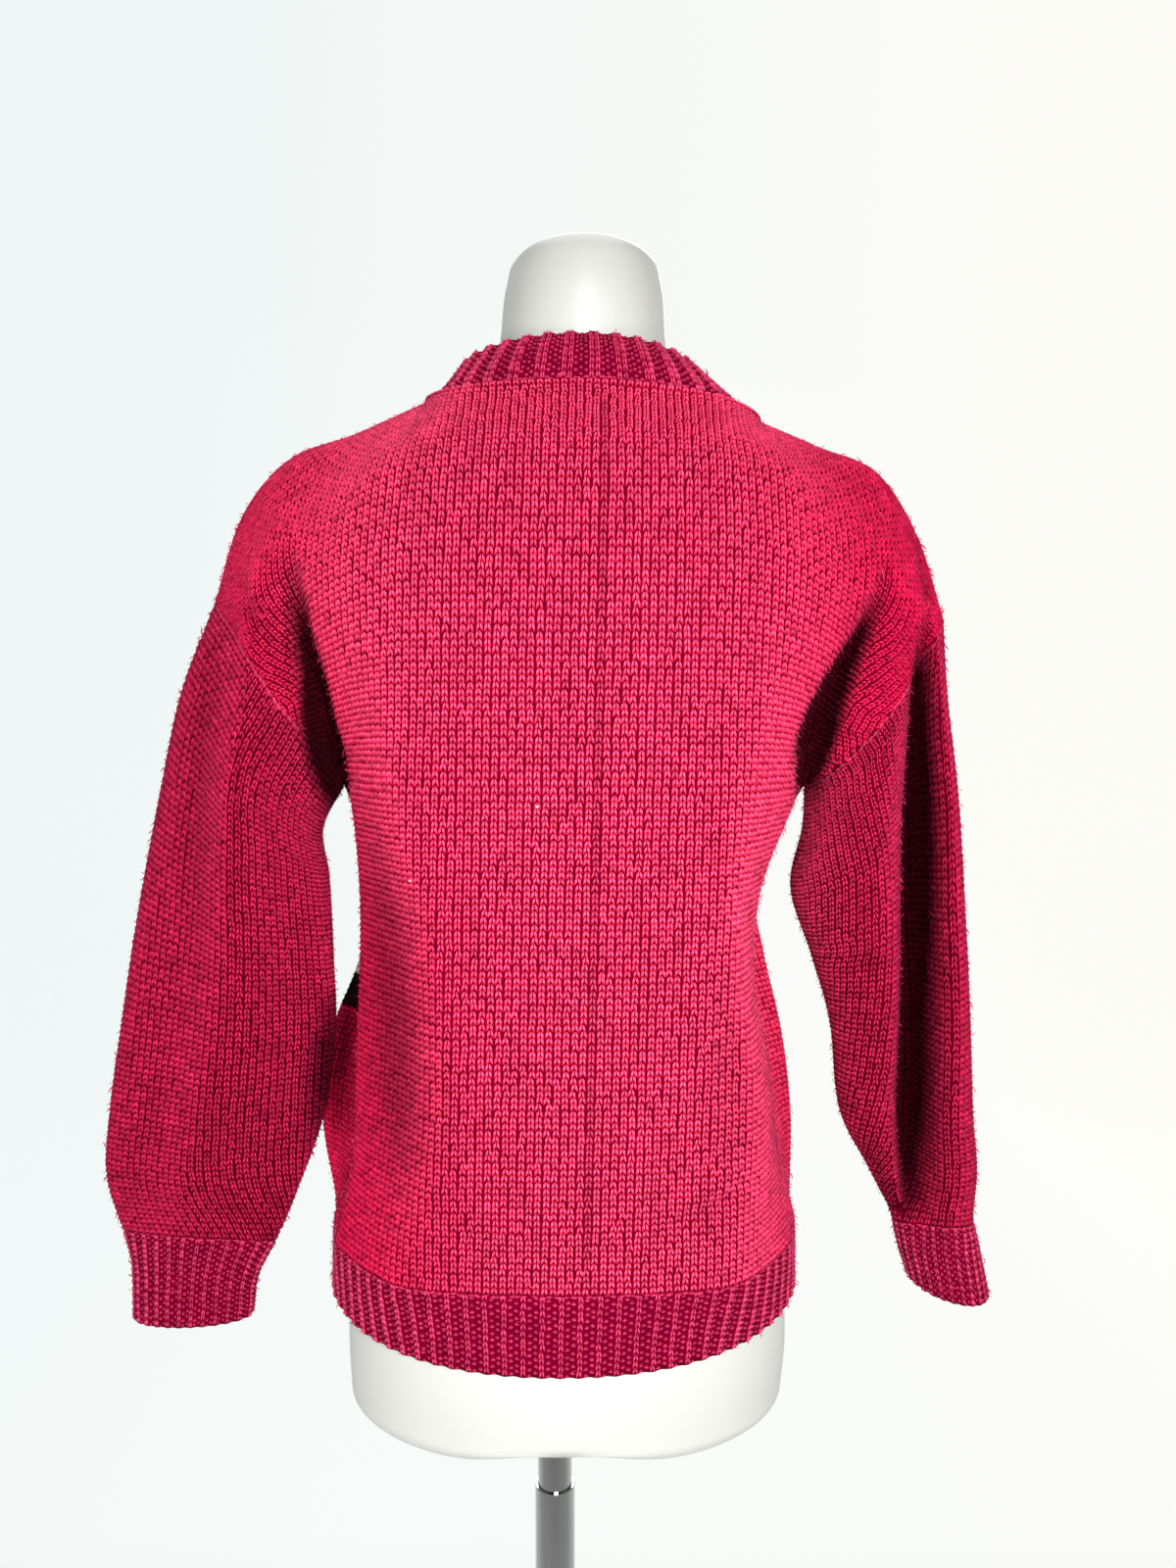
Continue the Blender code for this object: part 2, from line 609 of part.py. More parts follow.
def add_wall(name, outer, inner, closed, material, parent):
    """A closed solid between an outer grid and an inner one with fewer columns or as many."""
    rows, wide = outer.shape[:2]
    narrow = inner.shape[1]
    spans = wide if closed else wide - 1
    inner_spans = narrow if closed else narrow - 1
    ratio = spans // inner_spans
    offset = rows * wide
    last = (rows - 1) * wide
    inner_last = offset + (rows - 1) * narrow
    points = np.concatenate([outer.reshape(-1, 3), inner.reshape(-1, 3)])
    outer_split = shorter_diagonals(outer, closed)
    inner_split = outer_split if ratio == 1 else shorter_diagonals(inner, closed)
    faces = grid_faces(rows, wide, spans, 0, outer_split, False)
    faces += grid_faces(rows, narrow, inner_spans, offset, inner_split, True)
    for place in range(inner_spans):
        first = place * ratio
        beside = (place + 1) % narrow
        low = [(first + k) % wide for k in range(ratio, -1, -1)]
        faces.append(tuple(low + [offset + place, offset + beside]))
        high = [last + (first + k) % wide for k in range(ratio + 1)]
        faces.append(tuple(high + [inner_last + beside, inner_last + place]))
    if not closed:
        for row in range(rows - 1):
            low, high = row * wide, (row + 1) * wide
            under, over = offset + row * narrow, offset + (row + 1) * narrow
            faces.append((low, high, over, under))
            faces.append((high + wide - 1, low + wide - 1, under + narrow - 1, over + narrow - 1))
    return add_mesh(name, points, faces, material, parent)


def ribbed(base, normals, profile, height):
    """Raise ribs on a base grid whose columns follow the rib profile."""
    raised = np.array([share for _, share in profile])
    lift = raised[np.arange(base.shape[1]) % len(profile)] * height
    return base + normals * lift[None, :, None]


def rib_columns(points, profile, ribs, closed):
    """Points on a line at the places of each rib's profile, and at each rib's start."""
    line = np.concatenate([points, points[:1]]) if closed else points
    lengths = np.append(0.0, np.cumsum(np.linalg.norm(np.diff(line, axis=0), axis=1)))
    starts = np.arange(ribs)[:, None]
    shares = np.array([share for share, _ in profile])[None, :]
    places = ((starts + shares) / ribs).ravel()
    if not closed:
        places = np.append(places, 1.0)
    places = places * lengths[-1]
    return np.stack([np.interp(places, lengths, line[:, k]) for k in range(3)], axis=-1)


def add_band(name, rings, seam_normals, profile, ribs, height, closed, material, parent, gaps):
    """A ribbed band from its base rings, listed from the low edge to the high one."""
    base = np.array([rib_columns(ring, profile, ribs, closed) for ring in rings])
    normals = unit(grid_normals(base, closed))
    for row, direction in seam_normals.items():
        normals[row] = direction(base[row], normals[row])
    outer = ribbed(base, normals, profile, height)
    step = len(profile)
    inner = (base - normals * WALL)[:, ::step]
    outer = pulled_back(outer, rows=gaps, columns=(not closed, not closed))
    inner = pulled_back(inner, rows=gaps, columns=(not closed, not closed))
    return add_wall(name, outer, inner, closed, material, parent)


def neck_direction(points, _normals=None):
    """Outward and upward direction shared by the body and the band at the neckline."""
    outward, upward = NECK_BAND_LEAN
    radial = points - np.array([axis_x(SHOULDER_TOP), 0.0, 0.0])
    radial[..., 2] = 0.0
    return unit(outward * unit(radial) + np.array([0.0, 0.0, upward]))


def level_direction(_points, normals):
    """Directions made level, for the seam above the hem."""
    return flattened(normals, (0.0, 0.0, 1.0))


def turn_underarm(side, grids, shared):
    """Lay the wall's direction at an underarm between the side seam and the sleeve."""
    on_back, on_others = (0, -1) if side == "left" else (-1, 0)
    back = grids["back"][0]
    sleeve = grids["sleeve_" + side][0]
    up_body = unit(back[UNDERARM_ROW, on_back] - back[UNDERARM_ROW - 1, on_back])
    up_sleeve = unit(sleeve[-1, on_others] - sleeve[-2, on_others])
    downward = -unit(up_body + up_sleeve) * UNDERARM_MITRE
    shared["back"][UNDERARM_ROW, on_back] = downward
    shared["front"][UNDERARM_ROW, on_others] = downward
    shared["sleeve_" + side][-1, on_others] = downward


def build_body(material, rib_material, parent):
    """The back, the front, both sleeves, the cuffs, the hem and the neckband."""
    back = panel_grid("back")
    front = panel_grid("front")
    grids = {"back": (back, False), "front": (front[:, ::-1], False)}
    for side in SIDE_SIGN:
        ring = armhole_ring(side, back, front)
        grid = sleeve_grid(side, ring, 0.0, CUFF_SEAM_REACH, SLEEVE_RINGS)
        if side == "left":
            grid = grid[:, ::-1]
        grids["sleeve_" + side] = (grid[::-1], True)
    shared = share_normals(grids)
    for side, step in (("left", -1), ("right", 1)):
        turn_underarm(side, grids, shared)
        seam = shared["sleeve_" + side][-1]
        seam[::step] = doubled(seam[::step][::2])
    first_neck = sum(WIDTH_STEPS[2:])
    last_neck = first_neck + 2 * sum(WIDTH_STEPS[:2]) + 1
    for name in ("back", "front"):
        grid, _ = grids[name]
        normals = shared[name]
        normals[0] = level_direction(grid[0], normals[0])
        neck = slice(first_neck, last_neck)
        normals[-1, neck] = neck_direction(grid[-1, neck], normals[-1, neck])
        outer = pulled_back(grid, columns=(True, True))
        inner = pulled_back(grid - normals * WALL, columns=(True, True))
        add_wall(name, outer, inner, False, material, parent)
    for side in SIDE_SIGN:
        build_sleeve(side, grids, shared, material, rib_material, parent)
    build_hem(back, front, rib_material, parent)
    build_neckband(back, front, first_neck, last_neck, rib_material, parent)


def cuff_plane(side):
    """The direction square to the seam between a sleeve and its cuff."""
    ring = sleeve_section(side, CUFF_SEAM_REACH, np.array([0.0, 0.5, 1.0]), "back")
    return np.cross(ring[2] - ring[0], ring[1] - (ring[0] + ring[2]) / 2)


def build_sleeve(side, grids, shared, material, rib_material, parent):
    """One sleeve and its ribbed cuff."""
    name = "sleeve_" + side
    grid, _ = grids[name]
    normals = shared[name]
    plane = cuff_plane(side)
    normals[0] = flattened(normals[0], plane)
    outer = pulled_back(grid)
    inner = pulled_back(grid - normals * WALL)
    add_wall(name, outer, inner, True, material, parent)
    cuff = sleeve_grid(side, None, CUFF_SEAM_REACH, CUFF_EDGE_REACH, CUFF_RINGS)
    if side == "left":
        cuff = cuff[:, ::-1]
    cuff = cuff[::-1]

    def in_plane(points, directions):
        return flattened(directions, plane)

    add_band("cuff_" + side, cuff, {-1: in_plane}, NARROW_RIB, CUFF_RIBS, CUFF_RIB_HEIGHT,
             True, rib_material, parent, (False, True))


def hem_edge_ring(points):
    """The hem's lower edge below each point of the seam above it."""
    middle = axis_x(HEM_EDGE)
    angle = np.arctan2(points[:, 1], points[:, 0] - middle)
    half_width = np.where(np.cos(angle) < 0, HEM_LEFT, HEM_RIGHT)
    x = middle + half_width * np.cos(angle)
    y = HEM_DEPTH * np.sin(angle)
    return np.stack([x, y, np.full(len(points), HEM_EDGE)], axis=-1)


def build_hem(back, front, material, parent):
    """The ribbed hem, in a back half and a front half."""
    for name, seam in (("hem_back", back[0]), ("hem_front", front[0, ::-1])):
        edge = hem_edge_ring(seam)
        rings = [edge + (seam - edge) * share for share in HEM_ROWS]
        add_band(name, rings, {-1: level_direction, 0: level_direction}, NARROW_RIB,
                 HEM_RIBS // 2, HEM_RIB_HEIGHT, False, material, parent, (False, True))


def build_neckband(back, front, first, last, material, parent):
    """The ribbed crew neckband."""
    behind = back[-1, first:last]
    ahead = front[-1, first:last][::-1]
    seam = np.concatenate([behind[:-1], ahead[:-1]])
    read = dict(zip(NECK_COLUMNS, NECK_LINES["seam"]))
    across = seam[:, 0] - axis_x(read["back_z"])
    across = across / np.where(across < 0, read["left_x"], read["right_x"])
    depth = np.where(seam[:, 1] > 0, read["front_d"], read["back_d"])
    edge = neck_ring(np.arctan2(across, -seam[:, 1] / depth), "edge")
    out = neck_direction(seam)
    rings = []
    for share in NECK_BAND_ROWS:
        bow = NECK_BAND_BOW * math.sin(math.pi * share)
        rings.append(seam + (edge - seam) * share + out * bow)
    add_band("neckband", rings, {0: neck_direction}, WIDE_RIB, NECK_RIBS, NECK_RIB_HEIGHT,
             True, material, parent, (True, False))


def form_rings():
    """Rings of the dress form from the hips to the neck's dome."""
    heights = column(FORM, FORM_COLUMNS, "height")
    values = smooth_through(heights, np.array(FORM, dtype=float), stepped(heights, FORM_ROWS))
    angle = np.arange(FORM_SIDES) * 2 * math.pi / FORM_SIDES
    rings = []
    for height, shift, half_width, back, front in values:
        depth = np.where(np.sin(angle) < 0, back, front)
        x = axis_x(height) + shift + half_width * np.cos(angle)
        y = depth * np.sin(angle)
        rings.append(np.stack([x, y, np.full(FORM_SIDES, height)], axis=-1))
    return rings


def lobe_rings(hips):
    """Rings that round the hips off below into two short lobes, from the hips down."""
    middle = (hips[:, 0].max() + hips[:, 0].min()) / 2
    top = hips[0, 2]
    x = hips[:, 0] - middle
    spread = np.sign(x) * np.minimum(np.abs(x), LOBE_SPREAD)
    foot = LOBE_FOOT + (CROTCH - LOBE_FOOT) * np.exp(-((x / CROTCH_WIDTH) ** 2))
    rings = []
    for share in LOBE_SHARES:
        shrink = math.cos(share * math.pi / 2)
        ring = hips.copy()
        ring[:, 0] = middle + spread + (x - spread) * shrink
        ring[:, 1] = hips[:, 1] * shrink
        ring[:, 2] = top + (foot - top) * math.sin(share * math.pi / 2)
        rings.append(ring)
    return rings


def build_form(material, parent):
    """The dress form, whole, with two short hip lobes and a socket for the pole."""
    rings = form_rings()
    rows = lobe_rings(rings[0])[::-1] + rings
    points = np.concatenate(rows)
    sides = FORM_SIDES
    faces = []
    for row in range(len(rows) - 1):
        for place in range(sides):
            beside = (place + 1) % sides
            faces.append((row * sides + place, row * sides + beside,
                          (row + 1) * sides + beside, (row + 1) * sides + place))
    top = np.array([[axis_x(FORM_TOP), 0.0, FORM_TOP]])
    points = np.concatenate([points, top])
    last = (len(rows) - 1) * sides
    for place in range(sides):
        faces.append((last + place, last + (place + 1) % sides, len(points) - 1))
    half = sides // 2
    for place in range(1, half):
        mirror = sides - place
        beside = sides - place + 1
        faces.append((place, place - 1, beside % sides, mirror) if place > 1 else (place, 0, mirror))
    faces.append((half, half - 1, sides - half + 1))
    form = add_mesh("form", points, faces, material, parent)
    bpy.ops.mesh.primitive_cylinder_add(vertices=POLE_SIDES, radius=SOCKET_RADIUS,
                                        depth=SOCKET_TOP - SOCKET_FOOT,
                                        location=(0.0, 0.0, (SOCKET_TOP + SOCKET_FOOT) / 2))
    cutter = bpy.context.active_object
    cutter.name = "socket_cutter"
    cutter.hide_render = True
    cutter.display_type = "WIRE"
    socket = form.modifiers.new("socket", "BOOLEAN")
    socket.operation = "DIFFERENCE"
    socket.object = cutter
    return form


def turned(name, profile, sides, material, parent=None):
    """A turned solid from a closed profile of radius and height pairs, listed outer side first."""
    points = []
    faces = []
    angle = np.arange(sides) * 2 * math.pi / sides
    starts = []
    for radius, height in profile:
        starts.append((len(points), radius > 0.0))
        if radius > 0.0:
            points += [(radius * math.cos(a), radius * math.sin(a), height) for a in angle]
        else:
            points.append((0.0, 0.0, height))
    for (low, low_ring), (high, high_ring) in zip(starts, starts[1:] + starts[:1]):
        if not low_ring and not high_ring:
            continue
        for place in range(sides):
            beside = (place + 1) % sides
            if low_ring and high_ring:
                faces.append((low + place, low + beside, high + beside, high + place))
            elif low_ring:
                faces.append((low + place, low + beside, high))
            else:
                faces.append((low, high + beside, high + place))
    return add_mesh(name, points, faces, material, parent)


def build_stand(material, figure):
    """The round base, the lower tube and the upper tube."""
    hole = LOWER_TUBE_RADIUS + FIT_GAP
    turned("base", (
        (BASE_RADIUS - EDGE_CHAMFER, 0.0), (BASE_RADIUS, EDGE_CHAMFER),
        (BASE_RADIUS, BASE_THICKNESS - EDGE_CHAMFER), (BASE_RADIUS - EDGE_CHAMFER, BASE_THICKNESS),
        (COLLAR_RADIUS + COLLAR_FLARE, BASE_THICKNESS),
        (COLLAR_RADIUS, BASE_THICKNESS + COLLAR_FLARE),
        (COLLAR_RADIUS - EDGE_CHAMFER, COLLAR_TOP - EDGE_CHAMFER),
        (COLLAR_RADIUS - 2 * EDGE_CHAMFER, COLLAR_TOP),
        (hole, COLLAR_TOP), (hole, BASE_THICKNESS), (0.0, BASE_THICKNESS), (0.0, 0.0),
    ), BASE_SIDES, material)
    turned("pole_lower", (
        (LOWER_TUBE_RADIUS, BASE_THICKNESS + FIT_GAP),
        (LOWER_TUBE_RADIUS, LOWER_TUBE_TOP - LIP_CHAMFER),
        (LOWER_TUBE_RADIUS - LIP_CHAMFER, LOWER_TUBE_TOP), (LOWER_TUBE_BORE, LOWER_TUBE_TOP),
        (LOWER_TUBE_BORE, BASE_THICKNESS + FIT_GAP),
    ), POLE_SIDES, material)
    turned("pole_upper", (
        (UPPER_TUBE_RADIUS, UPPER_TUBE_FOOT), (UPPER_TUBE_RADIUS, UPPER_TUBE_TOP),
        (0.0, UPPER_TUBE_TOP), (0.0, UPPER_TUBE_FOOT),
    ), POLE_SIDES, material, figure)


def main():
    """Build every piece."""
    clear_scene()
    knit = make_material("raspberry_knit", RASPBERRY, 0.95)
    rib = make_material("raspberry_rib", RASPBERRY_RIB, 0.95)
    shell = make_material("cream_shell", CREAM, 0.35)
    chrome = make_material("chrome", CHROME, 0.12, 1.0)
    figure = bpy.data.objects.new("figure", None)
    bpy.context.collection.objects.link(figure)
    build_body(knit, rib, figure)
    build_form(shell, figure)
    build_stand(chrome, figure)


main()
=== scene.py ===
"""Looks of a hand-knit raspberry pullover on a cream dress form with a chrome stand.

The back of the sweater faces minus Y, the wearer's left is minus X and the floor
is at height zero, in metres. The cloth follows the same tables as its solids: a
fine shell takes the draped shape, and rows of yarn loops are laid on it along
its own wales and courses.
"""

from __future__ import annotations

import logging
import math
from dataclasses import dataclass, field
from enum import Enum

import bpy
import numpy as np
from mathutils import Matrix, Vector

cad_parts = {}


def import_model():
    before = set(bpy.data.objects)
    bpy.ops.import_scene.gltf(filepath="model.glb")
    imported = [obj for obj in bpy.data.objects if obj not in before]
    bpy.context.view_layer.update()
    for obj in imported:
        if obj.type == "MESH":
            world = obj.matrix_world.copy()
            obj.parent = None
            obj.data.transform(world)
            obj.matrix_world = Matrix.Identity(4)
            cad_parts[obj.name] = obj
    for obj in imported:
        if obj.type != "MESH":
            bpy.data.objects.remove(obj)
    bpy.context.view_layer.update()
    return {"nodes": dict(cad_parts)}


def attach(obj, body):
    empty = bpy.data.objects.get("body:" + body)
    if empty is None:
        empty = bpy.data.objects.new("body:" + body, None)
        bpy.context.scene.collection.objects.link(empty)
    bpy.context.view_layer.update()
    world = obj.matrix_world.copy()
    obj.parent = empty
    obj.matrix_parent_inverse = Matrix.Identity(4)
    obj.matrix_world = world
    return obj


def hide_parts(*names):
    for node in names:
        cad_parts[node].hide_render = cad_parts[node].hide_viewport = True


LOG = logging.getLogger("pullover")
Array = np.ndarray
Pair = tuple[float, float]
Triple = tuple[float, float, float]
Quad = tuple[float, float, float, float]


class Side(Enum):
    """The wearer's sides; the value is the sign of X."""

    LEFT = -1.0
    RIGHT = 1.0

    @property
    def key(self) -> str:
        """The side's name as the solids spell it."""
        return self.name.lower()


class Face(Enum):
    """The two faces of the body; the value is the sign of Y."""

    BACK = -1.0
    FRONT = 1.0


# Tables of the solids -----------------------------------------------------------

AXIS_FOOT_HEIGHT = 0.75
AXIS_FOOT_X = 0.0066
AXIS_LEAN = 0.022

NECK_COLUMNS = ("left_x", "right_x", "left_z", "right_z", "back_d", "back_z", "front_d", "front_z")
NECK_LINES = {
    "seam": (0.1090, 0.1260, 1.385, 1.371, 0.0780, 1.3795, 0.0980, 1.318),
    "edge": (0.0840, 0.0800, 1.405, 1.401, 0.0655, 1.4120, 0.0830, 1.346),
}
NECK_DIP = 1.5
NECK_BOW = 0.004
NECK_LEAN = (0.6, 0.8)

HEM_EDGE = 0.734
HEM_LEFT = 0.1690
HEM_RIGHT = 0.1710
HEM_DEPTH = 0.1130

MIDLINE_COLUMNS = ("height", "back", "front")
MIDLINE = (
    (0.790, 0.1150, 0.1150),
    (0.850, 0.1165, 0.1200),
    (0.920, 0.1170, 0.1250),
    (0.980, 0.1160, 0.1280),
    (1.040, 0.1150, 0.1300),
    (1.110, 0.1135, 0.1290),
)

QUARTER_COLUMNS = ("blade_x", "blade_d", "lip_x", "lip_d")
QUARTERS = {
    (Side.LEFT, Face.BACK): (
        (0.110, 0.100, 0.158, 0.048),
        (0.095, 0.108, 0.148, 0.045),
        (0.092, 0.109, 0.147, 0.042),
        (0.095, 0.108, 0.146, 0.040),
        (0.098, 0.108, 0.146, 0.042),
        (0.110, 0.103, 0.149, 0.052),
    ),
    (Side.LEFT, Face.FRONT): (
        (0.105, 0.105, 0.175, 0.045),
        (0.100, 0.112, 0.190, 0.052),
        (0.098, 0.116, 0.183, 0.052),
        (0.097, 0.118, 0.161, 0.050),
        (0.100, 0.120, 0.158, 0.050),
        (0.105, 0.118, 0.161, 0.052),
    ),
    (Side.RIGHT, Face.BACK): (
        (0.115, 0.100, 0.158, 0.046),
        (0.118, 0.098, 0.150, 0.045),
        (0.116, 0.098, 0.141, 0.042),
        (0.108, 0.100, 0.128, 0.045),
        (0.104, 0.102, 0.130, 0.046),
        (0.108, 0.102, 0.150, 0.052),
    ),
    (Side.RIGHT, Face.FRONT): (
        (0.105, 0.105, 0.170, 0.045),
        (0.100, 0.112, 0.172, 0.050),
        (0.098, 0.116, 0.163, 0.048),
        (0.097, 0.118, 0.148, 0.046),
        (0.098, 0.120, 0.137, 0.048),
        (0.105, 0.118, 0.160, 0.052),
    ),
}
MIDDLE_SHARE = (0.60, 0.30)
FOLD_SHARES = ((0.45, 0.52), (0.78, 0.22))
SIDE_SEAMS = {
    Side.LEFT: (0.171, 0.150, 0.136, 0.128, 0.130, 0.167),
    Side.RIGHT: (0.171, 0.154, 0.134, 0.117, 0.120, 0.167),
}

UPPER_COLUMNS = (
    "share", "height", "mid_d",
    "near_x", "near_d", "side_x", "side_d",
    "lip_x", "lip_d", "crease_x", "crease_d", "cap_x", "cap_d",
)
UPPER = (
    (0.30, 1.160, 0.113, 0.070, 0.111, 0.118, 0.096, 0.152, 0.060, 0.166, 0.045, 0.173, 0.042),
    (0.46, 1.215, 0.112, 0.071, 0.110, 0.119, 0.096, 0.161, 0.068, 0.184, 0.043, 0.194, 0.048),
    (0.66, 1.290, 0.104, 0.074, 0.100, 0.121, 0.087, 0.166, 0.070, 0.197, 0.056, 0.217, 0.052),
    (0.85, 1.345, 0.090, 0.080, 0.076, 0.124, 0.054, 0.168, 0.044, 0.207, 0.043, 0.233, 0.038),
)
FRONT_FULLNESS = (1.12, 1.12, 1.12, 1.18)
FRONT_DIP = (0.0, 0.0, 0.022, 0.052)
FRONT_DIP_SHARE = (1.0, 0.85, 0.3, 0.0, 0.0, 0.0, 0.0)
ROW_FALL = (0.0, 0.0, 0.03, 0.25, 0.5, 0.78, 1.0)

SHOULDERS = {
    Side.LEFT: ((0.1600, 1.3620), (0.2075, 1.3440), (0.2395, 1.3050)),
    Side.RIGHT: ((0.1710, 1.3520), (0.2110, 1.3350), (0.2400, 1.2920)),
}
SHOULDER_TOP = 1.380
OVER_SHOULDER = 1.425
WIDTH_PLACES = (0.0, 0.065, 0.115, 0.175, 0.220, 0.262, 0.305)

SLEEVE_COLUMNS = (
    "reach", "inner_x", "inner_z", "outer_x", "outer_z", "mid_y",
    "back", "front", "turn", "tilt", "bow", "fold", "fold_at", "fold_width",
)
SLEEVES = {
    Side.LEFT: (
        (0.00, 0.1525, 1.113, 0.2412, 1.243, 0.000, .045, .045, 0, 0, 0.008, 0.010, -0.20, 0.45),
        (0.05, 0.1680, 1.083, 0.2620, 1.188, -.004, .048, .044, 0, 0, 0.004, 0.016, -0.20, 0.45),
        (0.12, 0.1635, 1.045, 0.2803, 1.110, -.006, .046, .042, 0, 0, 0.000, 0.020, -0.20, 0.45),
        (0.20, 0.1605, 0.985, 0.2994, 1.020, -.008, .036, .036, 0, 0, 0.000, 0.022, -0.20, 0.42),
        (0.28, 0.1597, 0.930, 0.3135, 0.938, -.010, .030, .028, 0, 0, 0.000, 0.020, -0.15, 0.40),
        (0.34, 0.1685, 0.872, 0.3237, 0.875, -.010, .026, .024, 0, 4, 0.000, 0.018, -0.10, 0.40),
        (0.40, 0.1870, 0.820, 0.3270, 0.825, -.010, .026, .022, 0, 12, 0.000, 0.012, -0.05, 0.40),
        (0.45, 0.2060, 0.776, 0.3165, 0.784, -.009, .024, .021, 0, 22, 0.000, 0.004, 0.00, 0.40),
        (0.47, 0.2170, 0.757, 0.3120, 0.768, -.008, .022, .020, 0, 18, 0.000, 0.000, 0.00, 0.40),
        (0.52, 0.2250, 0.719, 0.3105, 0.717, -.008, .021, .019, 0, 6, 0.000, 0.000, 0.00, 0.40),
    ),
    Side.RIGHT: (
        (0.00, 0.1825, 1.113, 0.2756, 1.236, 0.000, .045, .045, 0, 0, -.008, -.012, 0.45, 0.34),
        (0.05, 0.1810, 1.083, 0.2795, 1.183, -.004, .048, .044, 0, 0, -.004, -.024, 0.45, 0.34),
        (0.12, 0.1725, 1.040, 0.2893, 1.110, -.006, .048, .042, 0, 0, 0.000, -.032, 0.42, 0.32),
        (0.20, 0.1880, 0.990, 0.2955, 1.020, -.008, .044, .040, -5, 0, 0.000, -.034, 0.38, 0.32),
        (0.28, 0.2040, 0.935, 0.3000, 0.945, -.008, .040, .040, -10, 0, 0.000, -.032, 0.28, 0.32),
        (0.34, 0.2125, 0.872, 0.3025, 0.875, -.008, .036, .040, -16, 2, 0.000, -.028, 0.15, 0.34),
        (0.40, 0.2365, 0.825, 0.3065, 0.832, -.006, .034, .038, -22, 8, 0.000, -.020, 0.05, 0.36),
        (0.45, 0.2555, 0.786, 0.3055, 0.792, -.004, .030, .034, -28, 14, 0.000, -.008, 0.00, 0.36),
        (0.47, 0.2600, 0.771, 0.3075, 0.778, -.004, .028, .032, -32, 12, 0.000, -.003, 0.00, 0.36),
        (0.52, 0.2700, 0.744, 0.3155, 0.735, -.004, .026, .030, -36, 4, 0.000, 0.000, 0.00, 0.30),
    ),
}
CUFF_SEAM_REACH = 0.45
CUFF_EDGE_REACH = 0.52

FORM_COLUMNS = ("height", "shift", "half_width", "back", "front")
FORM = (
    (0.668, 0.004, 0.1600, 0.0950, 0.0900),
    (0.700, 0.004, 0.1620, 0.1000, 0.0930),
    (0.740, 0.003, 0.1610, 0.1030, 0.0950),
    (0.800, 0.000, 0.1560, 0.1020, 0.0950),
    (0.860, 0.000, 0.1380, 0.0940, 0.0930),
    (0.930, 0.000, 0.1180, 0.0840, 0.0900),
    (0.990, 0.000, 0.1060, 0.0780, 0.0880),
    (1.060, 0.000, 0.1100, 0.0830, 0.0980),
    (1.140, 0.000, 0.1260, 0.0880, 0.1100),
    (1.200, 0.000, 0.1380, 0.0900, 0.1060),
    (1.260, 0.000, 0.1480, 0.0860, 0.0920),
    (1.300, 0.000, 0.1520, 0.0720, 0.0720),
    (1.328, 0.000, 0.1320, 0.0540, 0.0520),
    (1.350, 0.000, 0.0940, 0.0480, 0.0480),
    (1.375, 0.000, 0.0700, 0.0520, 0.0520),
    (1.400, 0.000, 0.0610, 0.0570, 0.0570),
    (1.430, 0.000, 0.0578, 0.0570, 0.0570),
    (1.463, 0.000, 0.0542, 0.0540, 0.0540),
    (1.478, 0.000, 0.0490, 0.0490, 0.0490),
    (1.485, 0.000, 0.0400, 0.0400, 0.0400),
    (1.490, 0.000, 0.0250, 0.0250, 0.0250),
)
FORM_TOP = 1.492
LOBE_FOOT = 0.636
LOBE_SPREAD = 0.078
CROTCH = 0.668
CROTCH_WIDTH = 0.042


# Small mathematics --------------------------------------------------------------

TINY = 1e-12
SAME_PLACE = 1e-9


def column(table: tuple, names: tuple, name: str) -> Array:
    """One named column of a table, as an array."""
    place = names.index(name)
    return np.array([row[place] for row in table], dtype=float)


def smooth_through(knots: Array, values: Array, places: Array) -> Array:
    """Points at the given places on a smooth cubic curve through values at the knots.

    Args:
        knots: Rising places at which the values stand.
        values: One value, of any shape, for each knot.
        places: Where the curve is read.

    Returns:
        The curve's values, one for each place.
    """
    knots = np.asarray(knots, dtype=float)
    values = np.asarray(values, dtype=float)
    places = np.asarray(places, dtype=float)
    shape = values.shape[1:]
    flat = values.reshape(len(knots), -1)
    steps = np.diff(knots)[:, None]
    slopes = np.diff(flat, axis=0) / steps
    tangents = np.empty_like(flat)
    tangents[1:-1] = (slopes[:-1] * steps[1:] + slopes[1:] * steps[:-1]) / (steps[:-1] + steps[1:])
    tangents[0] = slopes[0]
    tangents[-1] = slopes[-1]
    spans = np.clip(np.searchsorted(knots, places, side="right") - 1, 0, len(knots) - 2)
    width = steps[spans]
    t = (places - knots[spans])[:, None] / width
    here = flat[spans] * (2 * t**3 - 3 * t**2 + 1) + tangents[spans] * width * (t**3 - 2 * t**2 + t)
    there = flat[spans + 1] * (3 * t**2 - 2 * t**3) + tangents[spans + 1] * width * (t**3 - t**2)
    return (here + there).reshape((len(places),) + shape)


def stepped(knots: Array, counts: tuple[int, ...]) -> Array:
    """Places between the knots, with a given count of equal steps in each span."""
    parts = [np.linspace(a, b, n, endpoint=False) for a, b, n in zip(knots, knots[1:], counts)]
    return np.append(np.concatenate(parts), knots[-1])


def axis_x(height: Array) -> Array:
    """The torso's middle, along X, at a height."""
    return AXIS_FOOT_X + AXIS_LEAN * (np.asarray(height) - AXIS_FOOT_HEIGHT)


def unit(vectors: Array) -> Array:
    """Vectors scaled to unit length."""
    return vectors / np.maximum(np.linalg.norm(vectors, axis=-1, keepdims=True), TINY)


def grid_normals(grid: Array, closed: bool) -> Array:
    """Unit directions square to a grid of points, from its central differences."""
    if closed:
        across = np.roll(grid, -1, axis=1) - np.roll(grid, 1, axis=1)
    else:
        across = np.gradient(grid, axis=1)
    return unit(np.cross(across, np.gradient(grid, axis=0)))


def lapped_normals(grid: Array, closed: bool) -> Array:
    """The same for a grid that, where it is closed, ends on its first column again."""
    if not closed:
        return grid_normals(grid, False)
    normals = grid_normals(grid[:, :-1], True)
    return np.concatenate([normals, normals[:, :1]], axis=1)


